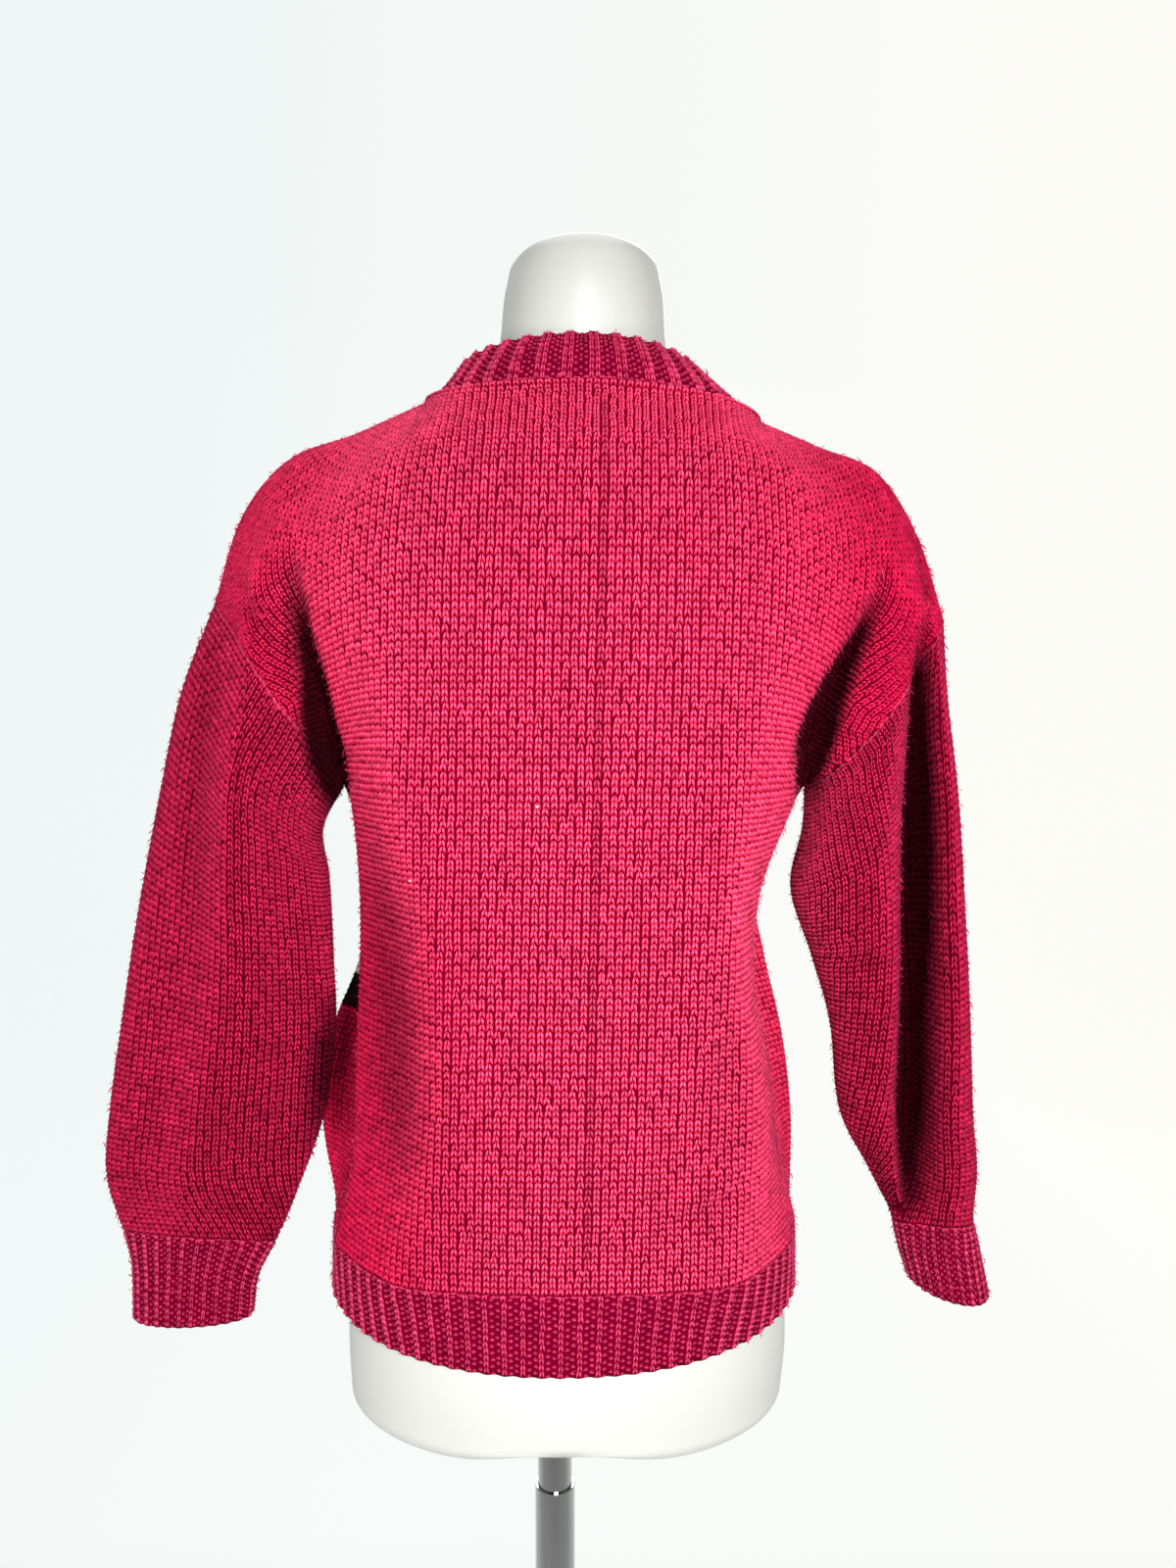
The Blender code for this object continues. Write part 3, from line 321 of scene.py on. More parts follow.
def run_length(points: Array, axis: int) -> Array:
    """Length run along an axis of a grid of points, from nought at its first one."""
    steps = np.linalg.norm(np.diff(points, axis=axis), axis=-1)
    shape = list(points.shape[:-1])
    shape[axis] = 1
    return np.concatenate([np.zeros(shape), np.cumsum(steps, axis=axis)], axis=axis)


def polyline_field(places: Array, line: Array, widths: Array, depths: Array, power: float) -> Array:
    """A soft trough or ridge along a line drawn on a plane.

    Each place takes the line's depth where it is nearest, times the bell of its
    distance over the line's width there.

    Args:
        places: Points of the plane, last axis two long.
        line: The line's corners.
        widths: The trough's half width at each corner.
        depths: Its depth at each corner, below zero for a trough.
        power: Two for a bell, and more for a flatter floor with steeper sides.

    Returns:
        The height at each place.
    """
    best = np.zeros(places.shape[:-1])
    for start, end, w0, w1, d0, d1 in zip(line, line[1:], widths, widths[1:], depths, depths[1:]):
        way = end - start
        share = np.clip(((places - start) @ way) / (way @ way), 0.0, 1.0)
        gap = np.linalg.norm(places - start - share[..., None] * way, axis=-1)
        width = w0 + (w1 - w0) * share
        height = (d0 + (d1 - d0) * share) * np.exp(-((gap / width) ** power))
        best = np.where(np.abs(height) > np.abs(best), height, best)
    return best


# The draped surfaces ------------------------------------------------------------


@dataclass(frozen=True)
class Drape:
    """The sweater's outer surfaces, read from the solids' tables."""

    width_steps: tuple[int, ...] = (10, 10, 9, 9, 9, 9)
    row_steps: int = 9
    corner_width: float = 0.035
    sleeve_rings: int = 72
    sleeve_half: int = 84

    def section(self, side: Side, reach: Array, share: Array, face: Face) -> Array:
        """Points of a sleeve's sections.

        Args:
            side: The sleeve.
            reach: Distance from the armhole, one for each section.
            share: From nought at the inner end to one at the outer one.
            face: The back or the front half.

        Returns:
            A grid of points, a row for each section.
        """
        table = SLEEVES[side]
        knots = column(table, SLEEVE_COLUMNS, "reach")
        values = smooth_through(knots, np.array(table, dtype=float), np.atleast_1d(reach))
        read = {name: values[:, k][:, None] for k, name in enumerate(SLEEVE_COLUMNS)}
        share = np.atleast_1d(share)[None, :]
        along = -np.cos(np.pi * share)
        bulge = np.sin(np.pi * share)
        turn = np.radians(read["turn"])
        tilt = np.radians(read["tilt"])
        half_x = (read["outer_x"] - read["inner_x"]) / 2
        half_z = (read["outer_z"] - read["inner_z"]) / 2
        out = (read["back"] if face is Face.BACK else read["front"]) * bulge
        if face is Face.BACK:
            near = np.exp(-(((along - read["fold_at"]) / read["fold_width"]) ** 2))
            out = out + read["fold"] * near * bulge
        forward = face.value * out * np.cos(tilt)
        across = along * half_x / np.cos(turn)
        drawn = read["bow"] * bulge / np.hypot(half_x, half_z)
        x = (read["inner_x"] + read["outer_x"]) / 2
        x = x + across * np.cos(turn) - forward * np.sin(turn) - drawn * half_z
        y = read["mid_y"] + across * np.sin(turn) + forward * np.cos(turn)
        z = (read["inner_z"] + read["outer_z"]) / 2 + along * half_z
        z = z + drawn * half_x - face.value * out * np.sin(tilt)
        return np.stack([side.value * x, y, z], axis=-1)

    def end_point(self, side: Side, share: float) -> Array:
        """The armhole's underarm point, at share nought, or its top, at share one."""
        return self.section(side, 0.0, share, Face.BACK)[0, 0]

    def lower_controls(self, side: Side, face: Face) -> Array:
        """Seven points across each table row below the underarm."""
        heights = column(MIDLINE, MIDLINE_COLUMNS, "height")
        mid = column(MIDLINE, MIDLINE_COLUMNS, face.name.lower())
        blade_x, blade_d, lip_x, lip_d = (
            column(QUARTERS[(side, face)], QUARTER_COLUMNS, name) for name in QUARTER_COLUMNS
        )
        seam_x = np.array(SIDE_SEAMS[side])
        along, fallen = MIDDLE_SHARE
        points = [(0.0 * mid, mid), (along * blade_x, mid - fallen * (mid - blade_d)),
                  (blade_x, blade_d), (lip_x, lip_d)]
        for across, deep in FOLD_SHARES:
            points.append((lip_x + across * (seam_x - lip_x), deep * lip_d))
        points.append((seam_x, 0.0 * mid))
        x = np.stack([side.value * px + axis_x(heights) for px, _ in points], axis=1)
        y = np.stack([face.value * pd for _, pd in points], axis=1)
        z = np.repeat(heights[:, None], len(points), axis=1)
        rows = np.stack([x, y, z], axis=-1)
        rows[-1, -1] = self.end_point(side, 0.0)
        return rows

    def upper_controls(self, side: Side, face: Face) -> Array:
        """Seven points across each table row above the underarm."""
        shares = column(UPPER, UPPER_COLUMNS, "share")
        heights = column(UPPER, UPPER_COLUMNS, "height")
        full = np.array(FRONT_FULLNESS) if face is Face.FRONT else np.ones(len(shares))
        edge = self.section(side, 0.0, shares, face)[0]
        rows = np.empty((len(shares), 7, 3))
        rows[:, :, 2] = heights[:, None] + (edge[:, 2] - heights)[:, None] * np.array(ROW_FALL)
        if face is Face.FRONT:
            rows[:, :, 2] -= np.outer(FRONT_DIP, FRONT_DIP_SHARE)
        rows[:, 0, 0] = axis_x(heights)
        rows[:, 0, 1] = face.value * full * column(UPPER, UPPER_COLUMNS, "mid_d")
        for place, name in enumerate(("near", "side", "lip", "crease", "cap"), start=1):
            swell = full if name in ("near", "side") else 1.0
            x = column(UPPER, UPPER_COLUMNS, name + "_x")
            rows[:, place, 0] = side.value * x + axis_x(heights)
            rows[:, place, 1] = face.value * swell * column(UPPER, UPPER_COLUMNS, name + "_d")
        rows[:, 6] = edge
        return rows

    def neck(self, angle: Array, line: str) -> Array:
        """A neck line: angle is nought at the nape and a quarter turn at the right."""
        read = dict(zip(NECK_COLUMNS, NECK_LINES[line]))
        angle = np.asarray(angle, dtype=float)
        behind = np.cos(angle) >= 0
        on_left = np.sin(angle) < 0
        depth = np.where(behind, read["back_d"], read["front_d"])
        middle = np.where(behind, read["back_z"], read["front_z"])
        half_width = np.where(on_left, read["left_x"], read["right_x"])
        side_z = np.where(on_left, read["left_z"], read["right_z"])
        x = axis_x(read["back_z"]) + half_width * np.sin(angle)
        z = side_z + (middle - side_z) * np.abs(np.cos(angle)) ** NECK_DIP
        return np.stack([x, -depth * np.cos(angle), z], axis=-1)

    def neck_angle(self, side: Side, face: Face, share: Array) -> Array:
        """The neck line's angle for a share of the way from the middle to the side."""
        quarter = np.asarray(share) * math.pi / 2
        return side.value * (quarter if face is Face.BACK else math.pi - quarter)

    def top_row(self, side: Side, face: Face, places: Array) -> Array:
        """The upper edge of a half panel: the neckline and then the shoulder seam."""
        neck_end = WIDTH_PLACES[2]
        x, z = np.array(SHOULDERS[side]).T
        between = np.stack([side.value * x + axis_x(z), 0.0 * z, z], axis=-1)
        start = self.neck(self.neck_angle(side, Face.BACK, 1.0), "seam")
        knots = np.concatenate([start[None], between, self.end_point(side, 1.0)[None]])
        shoulder = smooth_through(WIDTH_PLACES[2:], knots, np.maximum(places, neck_end))
        angle = self.neck_angle(side, face, np.minimum(places / neck_end, 1.0))
        return np.where((places < neck_end - SAME_PLACE)[:, None], self.neck(angle, "seam"), shoulder)

    def side_seam(self, side: Side, heights: Array) -> Array:
        """The side seam at the given heights."""
        knots = column(MIDLINE, MIDLINE_COLUMNS, "height")
        x = side.value * np.array(SIDE_SEAMS[side]) + axis_x(knots)
        points = np.stack([x, 0.0 * knots, knots], axis=-1)
        points[-1] = self.end_point(side, 0.0)
        return smooth_through(knots, points, heights)

    def armhole_shares(self) -> Array:
        """The share of the way up the armhole at each of a panel's upper rows."""
        heights = [MIDLINE[-1][0]] + [row[1] for row in UPPER] + [SHOULDER_TOP]
        knots = [0.0] + [row[0] for row in UPPER] + [1.0]
        places = stepped(heights, [self.row_steps] * (len(heights) - 1))
        return smooth_through(heights, np.array(knots), places)

    def quarter(self, side: Side, face: Face) -> Array:
        """Outer surface of a quarter of the body: rows upwards, columns out to the seam."""
        other = Face.FRONT if face is Face.BACK else Face.BACK
        knots = np.array(WIDTH_PLACES)
        upper = self.upper_controls(side, face)
        top = self.top_row(side, face, knots)
        beyond = self.upper_controls(side, other)[-1]
        beyond[:2] = 2 * top[:2] - upper[-1][:2]
        controls = np.concatenate([self.lower_controls(side, face), upper, top[None], beyond[None]])
        heights = np.concatenate([
            column(MIDLINE, MIDLINE_COLUMNS, "height"),
            column(UPPER, UPPER_COLUMNS, "height"),
            [SHOULDER_TOP, OVER_SHOULDER],
        ])
        row_places = stepped(heights[:-1], [self.row_steps] * (len(heights) - 2))
        rows = smooth_through(heights, controls, row_places)
        places = stepped(knots, self.width_steps)
        grid = smooth_through(knots, rows.transpose(1, 0, 2), places).transpose(1, 0, 2)
        grid[-1] = self.top_row(side, face, places)
        first = (len(MIDLINE) - 1) * self.row_steps
        seam = self.side_seam(side, row_places[:first])
        armhole = self.section(side, 0.0, self.armhole_shares(), face)[0]
        shift = np.concatenate([seam, armhole]) - grid[:, -1]
        reach = np.clip((places - knots[-3]) / (knots[-1] - knots[-3]), 0.0, 1.0)
        share = np.broadcast_to(reach, grid.shape[:2]).copy()
        share[-1, :-1] = 0.0
        grid = grid + shift[:, None] * share[:, :, None]
        last = grid[-1 - self.row_steps:]
        run = np.linspace(0.0, 1.0, self.row_steps + 1)[:, None, None]
        straight = last[0] + (last[-1] - last[0]) * run
        corner = np.exp(-(((places - knots[2]) / self.corner_width) ** 2))[None, :, None]
        grid[-1 - self.row_steps:] = last + (straight - last) * corner
        return grid

    def panel(self, face: Face) -> Array:
        """Outer surface of the back or front, from the left edge to the right one."""
        left = self.quarter(Side.LEFT, face)
        right = self.quarter(Side.RIGHT, face)
        return np.concatenate([left[:, ::-1], right[:, 1:]], axis=1)

    def tube(self, side: Side, first: float, last: float, rings: int) -> Array:
        """A sleeve or cuff, opened along its inner line: a row for each section.

        Args:
            side: The sleeve.
            first: Reach of the first row.
            last: Reach of the last row.
            rings: Count of rows.

        Returns:
            A grid whose columns run from the inner line over the back to the outer
            line and round the front to the inner line again.
        """
        share = np.linspace(0.0, 1.0, self.sleeve_half + 1)
        reach = np.linspace(first, last, rings)
        back = self.section(side, reach, share, Face.BACK)
        front = self.section(side, reach, share[::-1], Face.FRONT)
        return np.concatenate([back, front[:, 1:]], axis=1)


# Cloth made of loops ------------------------------------------------------------


@dataclass(frozen=True)
class FoldLine:
    """A trough or ridge drawn square on one side of the sweater, over seams and all.

    Each row of the table is x, z, width and depth, in metres; a depth below zero is
    a trough, and pushes the cloth straight in. It fades where the cloth turns away
    to the other side, at middle_y. Pressed is the share of the depth that is really
    pushed in; the yarn is darkened for all of it, as if light didn't reach.
    """

    face: Face
    rows: tuple[Quad, ...]
    middle_y: float = -0.004
    turn: float = 0.030
    power: float = 2.0
    pressed: float = 1.0

    def push(self, grid: Array) -> Array:
        """How far along Y each point of a grid is pushed.

        Args:
            grid: The cloth's points.

        Returns:
            One signed length for each point.
        """
        table = np.array(self.rows)
        height = polyline_field(grid[..., [0, 2]], table[:, :2], table[:, 2], table[:, 3], self.power)
        side = np.clip(self.face.value * (grid[..., 1] - self.middle_y) / self.turn, 0.0, 1.0)
        return self.face.value * height * side * side * (3.0 - 2.0 * side)


BACK_FOLDS = (
    FoldLine(Face.BACK, ((-0.1725, 1.268, 0.005, -0.002), (-0.1700, 1.245, 0.006, -0.010),
                         (-0.1675, 1.209, 0.008, -0.022), (-0.1620, 1.186, 0.009, -0.032),
                         (-0.1590, 1.159, 0.010, -0.038), (-0.1535, 1.134, 0.011, -0.040),
                         (-0.1500, 1.112, 0.010, -0.012), (-0.1490, 1.094, 0.009, 0.0)),
             middle_y=0.010, turn=0.026, power=3.5),
    FoldLine(Face.BACK, ((0.2240, 1.258, 0.004, -0.002), (0.2190, 1.241, 0.005, -0.008),
                         (0.2110, 1.219, 0.006, -0.018), (0.2020, 1.200, 0.008, -0.026),
                         (0.1950, 1.185, 0.010, -0.034), (0.1870, 1.165, 0.012, -0.042),
                         (0.1810, 1.145, 0.013, -0.042), (0.1790, 1.124, 0.012, -0.024),
                         (0.1775, 1.106, 0.010, -0.006), (0.1770, 1.094, 0.009, 0.0)),
             middle_y=0.010, turn=0.026, power=3.5),
    FoldLine(Face.BACK, ((0.2500, 1.302, 0.004, 0.0), (0.2570, 1.276, 0.005, -0.006),
                         (0.2590, 1.245, 0.005, -0.005))),
    FoldLine(Face.BACK, ((0.2600, 1.296, 0.004, 0.0), (0.2665, 1.268, 0.005, 0.005),
                         (0.2690, 1.240, 0.004, 0.003))),
    FoldLine(Face.BACK, ((-0.2130, 1.262, 0.004, 0.0), (-0.2020, 1.236, 0.005, -0.005),
                         (-0.1850, 1.206, 0.004, -0.002))),
    FoldLine(Face.BACK, ((0.2570, 1.228, 0.005, -0.004), (0.2580, 1.184, 0.008, -0.020),
                         (0.2590, 1.135, 0.010, -0.026), (0.2600, 1.081, 0.012, -0.030),
                         (0.2600, 1.023, 0.013, -0.030), (0.2595, 0.962, 0.013, -0.028),
                         (0.2595, 0.900, 0.013, -0.026), (0.2600, 0.850, 0.011, -0.022),
                         (0.2610, 0.810, 0.009, -0.014), (0.2620, 0.786, 0.007, -0.004)),
             middle_y=0.012, turn=0.024, power=3.0),
    FoldLine(Face.BACK, ((0.1470, 1.000, 0.005, 0.0), (0.1560, 0.930, 0.006, -0.009),
                         (0.1620, 0.860, 0.006, -0.007), (0.1650, 0.822, 0.005, 0.0))),
    FoldLine(Face.BACK, ((-0.1180, 1.081, 0.014, -0.002), (-0.1100, 1.030, 0.021, -0.007),
                         (-0.1040, 0.965, 0.024, -0.009), (-0.1020, 0.899, 0.023, -0.008),
                         (-0.1060, 0.840, 0.016, -0.002))),
    FoldLine(Face.BACK, ((-0.0800, 1.060, 0.012, 0.0), (-0.0660, 0.990, 0.014, 0.004),
                         (-0.0560, 0.916, 0.014, 0.005), (-0.0600, 0.850, 0.012, 0.001))),
    FoldLine(Face.BACK, ((0.1350, 1.010, 0.009, 0.0), (0.1420, 0.929, 0.010, 0.004),
                         (0.1460, 0.844, 0.010, 0.002))),
    FoldLine(Face.BACK, ((0.1120, 1.030, 0.009, 0.0), (0.1180, 0.940, 0.010, -0.004),
                         (0.1220, 0.860, 0.010, -0.001))),
    FoldLine(Face.BACK, ((0.0640, 0.826, 0.005, 0.0), (0.0960, 0.842, 0.006, -0.004),
                         (0.1360, 0.860, 0.006, 0.0))),
    FoldLine(Face.BACK, ((0.0780, 0.840, 0.005, 0.0), (0.1060, 0.856, 0.006, 0.003),
                         (0.1380, 0.872, 0.006, 0.0))),
    FoldLine(Face.BACK, ((-0.0500, 0.826, 0.005, 0.0), (-0.0200, 0.830, 0.006, 0.003),
                         (0.0300, 0.826, 0.006, 0.0))),
    FoldLine(Face.BACK, ((0.2060, 1.001, 0.005, 0.0), (0.2180, 1.004, 0.006, 0.004),
                         (0.2330, 1.001, 0.005, 0.0))),
    FoldLine(Face.BACK, ((0.2080, 0.989, 0.005, 0.0), (0.2180, 0.991, 0.005, -0.003),
                         (0.2330, 0.989, 0.005, 0.0))),
    FoldLine(Face.BACK, ((-0.1900, 1.292, 0.012, 0.001), (-0.1950, 1.260, 0.012, 0.004),
                         (-0.2040, 1.208, 0.012, 0.006), (-0.2085, 1.120, 0.013, 0.005),
                         (-0.2065, 1.000, 0.014, 0.004), (-0.2030, 0.860, 0.012, 0.002))),
    FoldLine(Face.BACK, ((-0.2280, 1.225, 0.010, -0.001), (-0.2400, 1.160, 0.012, -0.004),
                         (-0.2440, 1.080, 0.012, -0.003), (-0.2420, 0.980, 0.012, 0.0))),
    # The last three lines push nothing in: they are painted shade only, darkening the yarn under both
    # arms and down the lower left side.
    FoldLine(Face.BACK, ((-0.1640, 1.190, 0.009, -0.006), (-0.1600, 1.160, 0.011, -0.016),
                         (-0.1570, 1.125, 0.012, -0.017), (-0.1535, 1.095, 0.010, -0.015),
                         (-0.1520, 1.078, 0.007, -0.004)),
             middle_y=0.030, turn=0.020, power=3.0, pressed=0.0),
    FoldLine(Face.BACK, ((0.1860, 1.160, 0.009, -0.006), (0.1810, 1.140, 0.010, -0.016),
                         (0.1780, 1.115, 0.008, -0.012), (0.1765, 1.095, 0.007, -0.002)),
             middle_y=0.030, turn=0.020, power=3.0, pressed=0.0),
    FoldLine(Face.BACK, ((-0.1580, 0.955, 0.008, -0.008), (-0.1620, 0.925, 0.011, -0.015),
                         (-0.1650, 0.890, 0.012, -0.015), (-0.1670, 0.860, 0.011, -0.011),
                         (-0.1670, 0.835, 0.009, -0.003)),
             middle_y=0.070, turn=0.020, pressed=0.0),
)
FRONT_FOLDS = (
    FoldLine(Face.FRONT, ((-0.1720, 1.255, 0.009, -0.002), (-0.1660, 1.205, 0.011, -0.018),
                          (-0.1600, 1.165, 0.012, -0.026), (-0.1530, 1.134, 0.012, -0.022),
                          (-0.1500, 1.100, 0.012, 0.0)), power=3.0),
    FoldLine(Face.FRONT, ((0.2150, 1.245, 0.009, -0.002), (0.2050, 1.205, 0.011, -0.018),
                          (0.1930, 1.170, 0.013, -0.026), (0.1820, 1.140, 0.013, -0.022),
                          (0.1780, 1.100, 0.012, 0.0)), power=3.0),
    FoldLine(Face.FRONT, ((-0.0850, 1.120, 0.012, 0.0), (-0.0700, 1.020, 0.014, 0.005),
                          (-0.0620, 0.880, 0.014, 0.004), (-0.0600, 0.830, 0.012, 0.0))),
    FoldLine(Face.FRONT, ((0.1100, 1.110, 0.012, 0.0), (0.0860, 1.000, 0.013, 0.005),
                          (0.0800, 0.860, 0.014, 0.005), (0.0840, 0.820, 0.012, 0.0))),
    FoldLine(Face.FRONT, ((-0.0300, 0.832, 0.006, 0.0), (0.0100, 0.842, 0.007, -0.004),
                          (0.0450, 0.834, 0.006, 0.0))),
    FoldLine(Face.FRONT, ((-0.2300, 1.200, 0.010, 0.0), (-0.2300, 1.080, 0.011, -0.006),
                          (-0.2320, 0.960, 0.011, -0.005), (-0.2450, 0.850, 0.010, 0.0))),
    FoldLine(Face.FRONT, ((0.2460, 1.200, 0.010, 0.0), (0.2420, 1.080, 0.011, -0.007),
                          (0.2520, 0.960, 0.011, -0.006), (0.2620, 0.850, 0.010, 0.0))),
)


# Places read from a chart are held just inside its last cell.
LAST_CELL = 1.001


@dataclass
class Chart:
    """A cloth surface that is read by u, along its courses, and v, up its wales.

    The grid's rows run upwards and its columns so that across times up looks
    outwards. u is the length run along a row from the middle column, and v the
    mean length run up the columns. In an even chart every row has the same
    number of wales. Sunken is how deep in a fold each point of the grid lies.
    """

    grid: Array
    middle: int = 0
    even: bool = False
    closed: bool = False
    step: float = 0.0015
    sunken: Array | None = None
    low: Array = field(init=False)
    high: Array = field(init=False)
    rise: Array = field(init=False)
    lattice: Array = field(init=False)
    start: float = field(init=False)

    def __post_init__(self) -> None:
        """Resample the surface on a regular lattice of u and v."""
        across = run_length(self.grid, 1)
        if self.even:
            across = across * (across[:, -1].mean() / across[:, -1])[:, None]
        across = across - across[:, self.middle][:, None]
        self.rise = run_length(self.grid, 0).mean(axis=1)
        self.low = across[:, 0]
        self.high = across[:, -1]
        self.start = float(across.min())
        normals = lapped_normals(self.grid, self.closed)
        sunken = np.zeros(self.grid.shape[:2]) if self.sunken is None else self.sunken
        channels = np.concatenate([self.grid, normals, sunken[..., None]], axis=-1)
        us = np.arange(self.start, across.max() + self.step, self.step)
        rows = np.stack([
            np.stack([np.interp(us, where, line[:, k]) for k in range(channels.shape[-1])],
                     axis=-1)
            for where, line in zip(across, channels)
        ])
        vs = np.arange(0.0, self.rise[-1] + self.step, self.step)
        place = np.interp(vs, self.rise, np.arange(len(self.rise)))
        below = np.minimum(place.astype(int), len(self.rise) - 2)
        share = (place - below)[:, None, None]
        self.lattice = rows[below] * (1.0 - share) + rows[below + 1] * share

    def edges(self, v: Array) -> tuple[Array, Array]:
        """The lowest and highest u of the cloth at each v."""
        return np.interp(v, self.rise, self.low), np.interp(v, self.rise, self.high)

    def read(self, u: Array, v: Array) -> Array:
        """Every channel of the lattice at the given places: point, normal and fold depth."""
        if self.closed and self.even:
            span = self.high[0] - self.low[0]
            u = (u - self.low[0]) % span + self.low[0]
        rows, columns = self.lattice.shape[:2]
        x = np.clip((u - self.start) / self.step, 0.0, columns - LAST_CELL)
        y = np.clip(v / self.step, 0.0, rows - LAST_CELL)
        i, j = x.astype(int), y.astype(int)
        fx, fy = (x - i)[..., None], (y - j)[..., None]
        low = self.lattice[j, i] * (1 - fx) + self.lattice[j, i + 1] * fx
        high = self.lattice[j + 1, i] * (1 - fx) + self.lattice[j + 1, i + 1] * fx
        return low * (1 - fy) + high * fy

    def at(self, u: Array, v: Array, height: Array) -> Array:
        """Points over the cloth.

        Args:
            u: Places along the courses.
            v: Places up the wales.
            height: Distance out of the cloth.

        Returns:
            One point for each place.
        """
        read = self.read(u, v)
        return read[..., :3] + unit(read[..., 3:6]) * np.asarray(height)[..., None]


# Tones of the painted shade between the loops and of the painted highlight on their tops; the palest
# tone also pales the loose fibres.
PALEST = np.array((0.62, 0.25, 0.39))
DEEPEST = np.array((0.27, 0.15, 0.07))
BRIGHTEST = 1.04
MOST_SHADE = 1.3
PALE_FROM = 0.80
# Painted shade at the bottom of folds: how much darker, how deep for the full amount, and how it falls
# off.
FOLD_SHADE = 0.94
FOLD_FULL = 0.017
FOLD_FALL = 0.8

HAIR_LENGTHS = (0.0012, 0.0038)
HAIR_LEAN = 0.6
HAIR_DROOP = 0.2
HAIR_HALF_WIDTH = 0.00006
HAIR_ROOT = 0.0009
HAIR_BEND = (0.35, 0.25, 0.6)
HAIR_FACES = np.array(((0, 1, 2), (0, 2, 3)))
HAIR_PALENESS = 0.25

# A loop's corners, as across, along, height and painted shade (dark where it lies deep, lit on its
# crest), and its triangles.
LOOP_FACES = np.array(((0, 3, 4), (0, 4, 2), (3, 5, 4), (2, 4, 5), (3, 1, 5), (2, 5, 1)))
KNIT_LEG = np.array((
    (0.06, 0.74, 0.0004, 0.60),
    (0.40, -0.68, -0.0003, 0.30),
    (0.03, -0.10, -0.0005, 0.00),
    (0.42, 0.16, -0.0005, 0.00),
    (0.17, 0.32, 0.0018, 1.12),
    (0.30, -0.24, 0.0014, 0.88),
))
PURL_BUMP = np.array((
    (-0.52, -0.10, -0.0003, 0.20),
    (0.52, -0.10, -0.0003, 0.20),
    (0.00, 0.46, -0.0004, 0.05),
    (0.00, -0.50, -0.0004, 0.05),
    (-0.20, 0.04, 0.0016, 0.95),
    (0.20, 0.04, 0.0016, 0.95),
))


def yarn_with_painted_shade(colour: Array, shade: Array, bloom: Array) -> Array:
    """Yarn colour with painted shade: its deepest tone between the loops, up to a painted pale highlight
    on top.

    Args:
        colour: The yarn's middle colour.
        shade: Painted shade, nought deep between the loops and one on top of them.
        highlight: How strongly the painted highlight pales the top.

    Returns:
        The colour at each place.
    """
    shade = np.clip(shade, 0.0, MOST_SHADE)
    pale = PALEST * np.clip(shade - PALE_FROM, 0.0, None) * bloom
    return colour * (DEEPEST + (BRIGHTEST - DEEPEST) * shade) + pale * colour[..., :1]


def fold_shade(depth: Array) -> Array:
    """Share of light left at a depth in a fold: it falls away as the walls close in."""
    return 1.0 - FOLD_SHADE * np.clip(depth / FOLD_FULL, 0.0, 1.0) ** FOLD_FALL


@dataclass
class Loops:
    """Yarn loops gathered from one or more charts, as points, triangles and shades."""

    points: list[Array] = field(default_factory=list)
    faces: list[Array] = field(default_factory=list)
    colours: list[Array] = field(default_factory=list)
    bloom: float = 0.85
    count: int = 0

    def lay(self, chart: Chart, shape: Array, u: Array, v: Array, size: Pair,
            colours: Array, mirror: bool = False, raised: float = 1.0,
            bloom: Array | None = None) -> None:
        """Lay one leg or bump at every given place.

        Args:
            chart: The cloth.
            shape: Rows of across, along, height and shade.
            u: Places along the courses.
            v: Places up the wales.
            size: Width of a wale and height of a course.
            colours: One colour for each place.
            mirror: Whether the shape is turned over left for right.
            raised: Factor on the loop's height.
            highlight: How strongly the painted highlight pales each one, where that varies.
        """
        sign = -1.0 if mirror else 1.0
        across = u[:, None] + sign * shape[None, :, 0] * size[0]
        along = v[:, None] + shape[None, :, 1] * size[1]
        height = np.broadcast_to(shape[None, :, 2] * raised, across.shape)
        points = chart.at(across, along, height).reshape(-1, 3)
        faces = LOOP_FACES[:, ::-1] if mirror else LOOP_FACES
        starts = self.count + len(shape) * np.arange(len(u))[:, None, None]
        self.points.append(points)
        self.faces.append((starts + faces[None]).reshape(-1, 3))
        # Painted shade and painted highlight go into each loop's colour here.
        shade = shape[None, :, 3, None]
        pale = np.full(len(u), self.bloom) if bloom is None else bloom
        self.colours.append(yarn_with_painted_shade(colours[:, None, :], shade, pale[:, None, None]).reshape(-1, 3))
        self.count += len(points)

    def hairs(self, chart: Chart, u: Array, v: Array, colours: Array,
              rng: np.random.Generator) -> None:
        """Loose fibres: one thin bent sliver that stands out of the cloth at each place.

        Args:
            chart: The cloth.
            u: Places along the courses.
            v: Places up the wales.
            colours: One colour for each place.
            rng: Source of the fibres' lengths and leans.
        """
        count = len(u)
        length = rng.uniform(*HAIR_LENGTHS, count)
        lean = rng.normal(0.0, HAIR_LEAN, (count, 2)) * length[:, None]
        lean[:, 1] -= HAIR_DROOP * length
        half = HAIR_HALF_WIDTH
        bend_u, bend_v, bend_out = HAIR_BEND
        across = np.stack([u - half, u + half, u + bend_u * lean[:, 0] + half, u + lean[:, 0]], axis=1)
        along = np.stack([v, v, v + bend_v * lean[:, 1], v + lean[:, 1]], axis=1)
        base = np.full(count, HAIR_ROOT)
        height = np.stack([base, base, base + bend_out * length, base + length], axis=1)
        self.points.append(chart.at(across, along, height).reshape(-1, 3))
        starts = self.count + 4 * np.arange(count)[:, None, None]
        self.faces.append((starts + HAIR_FACES[None]).reshape(-1, 3))
        self.colours.append(np.repeat(colours, 4, axis=0))
        self.count += 4 * count


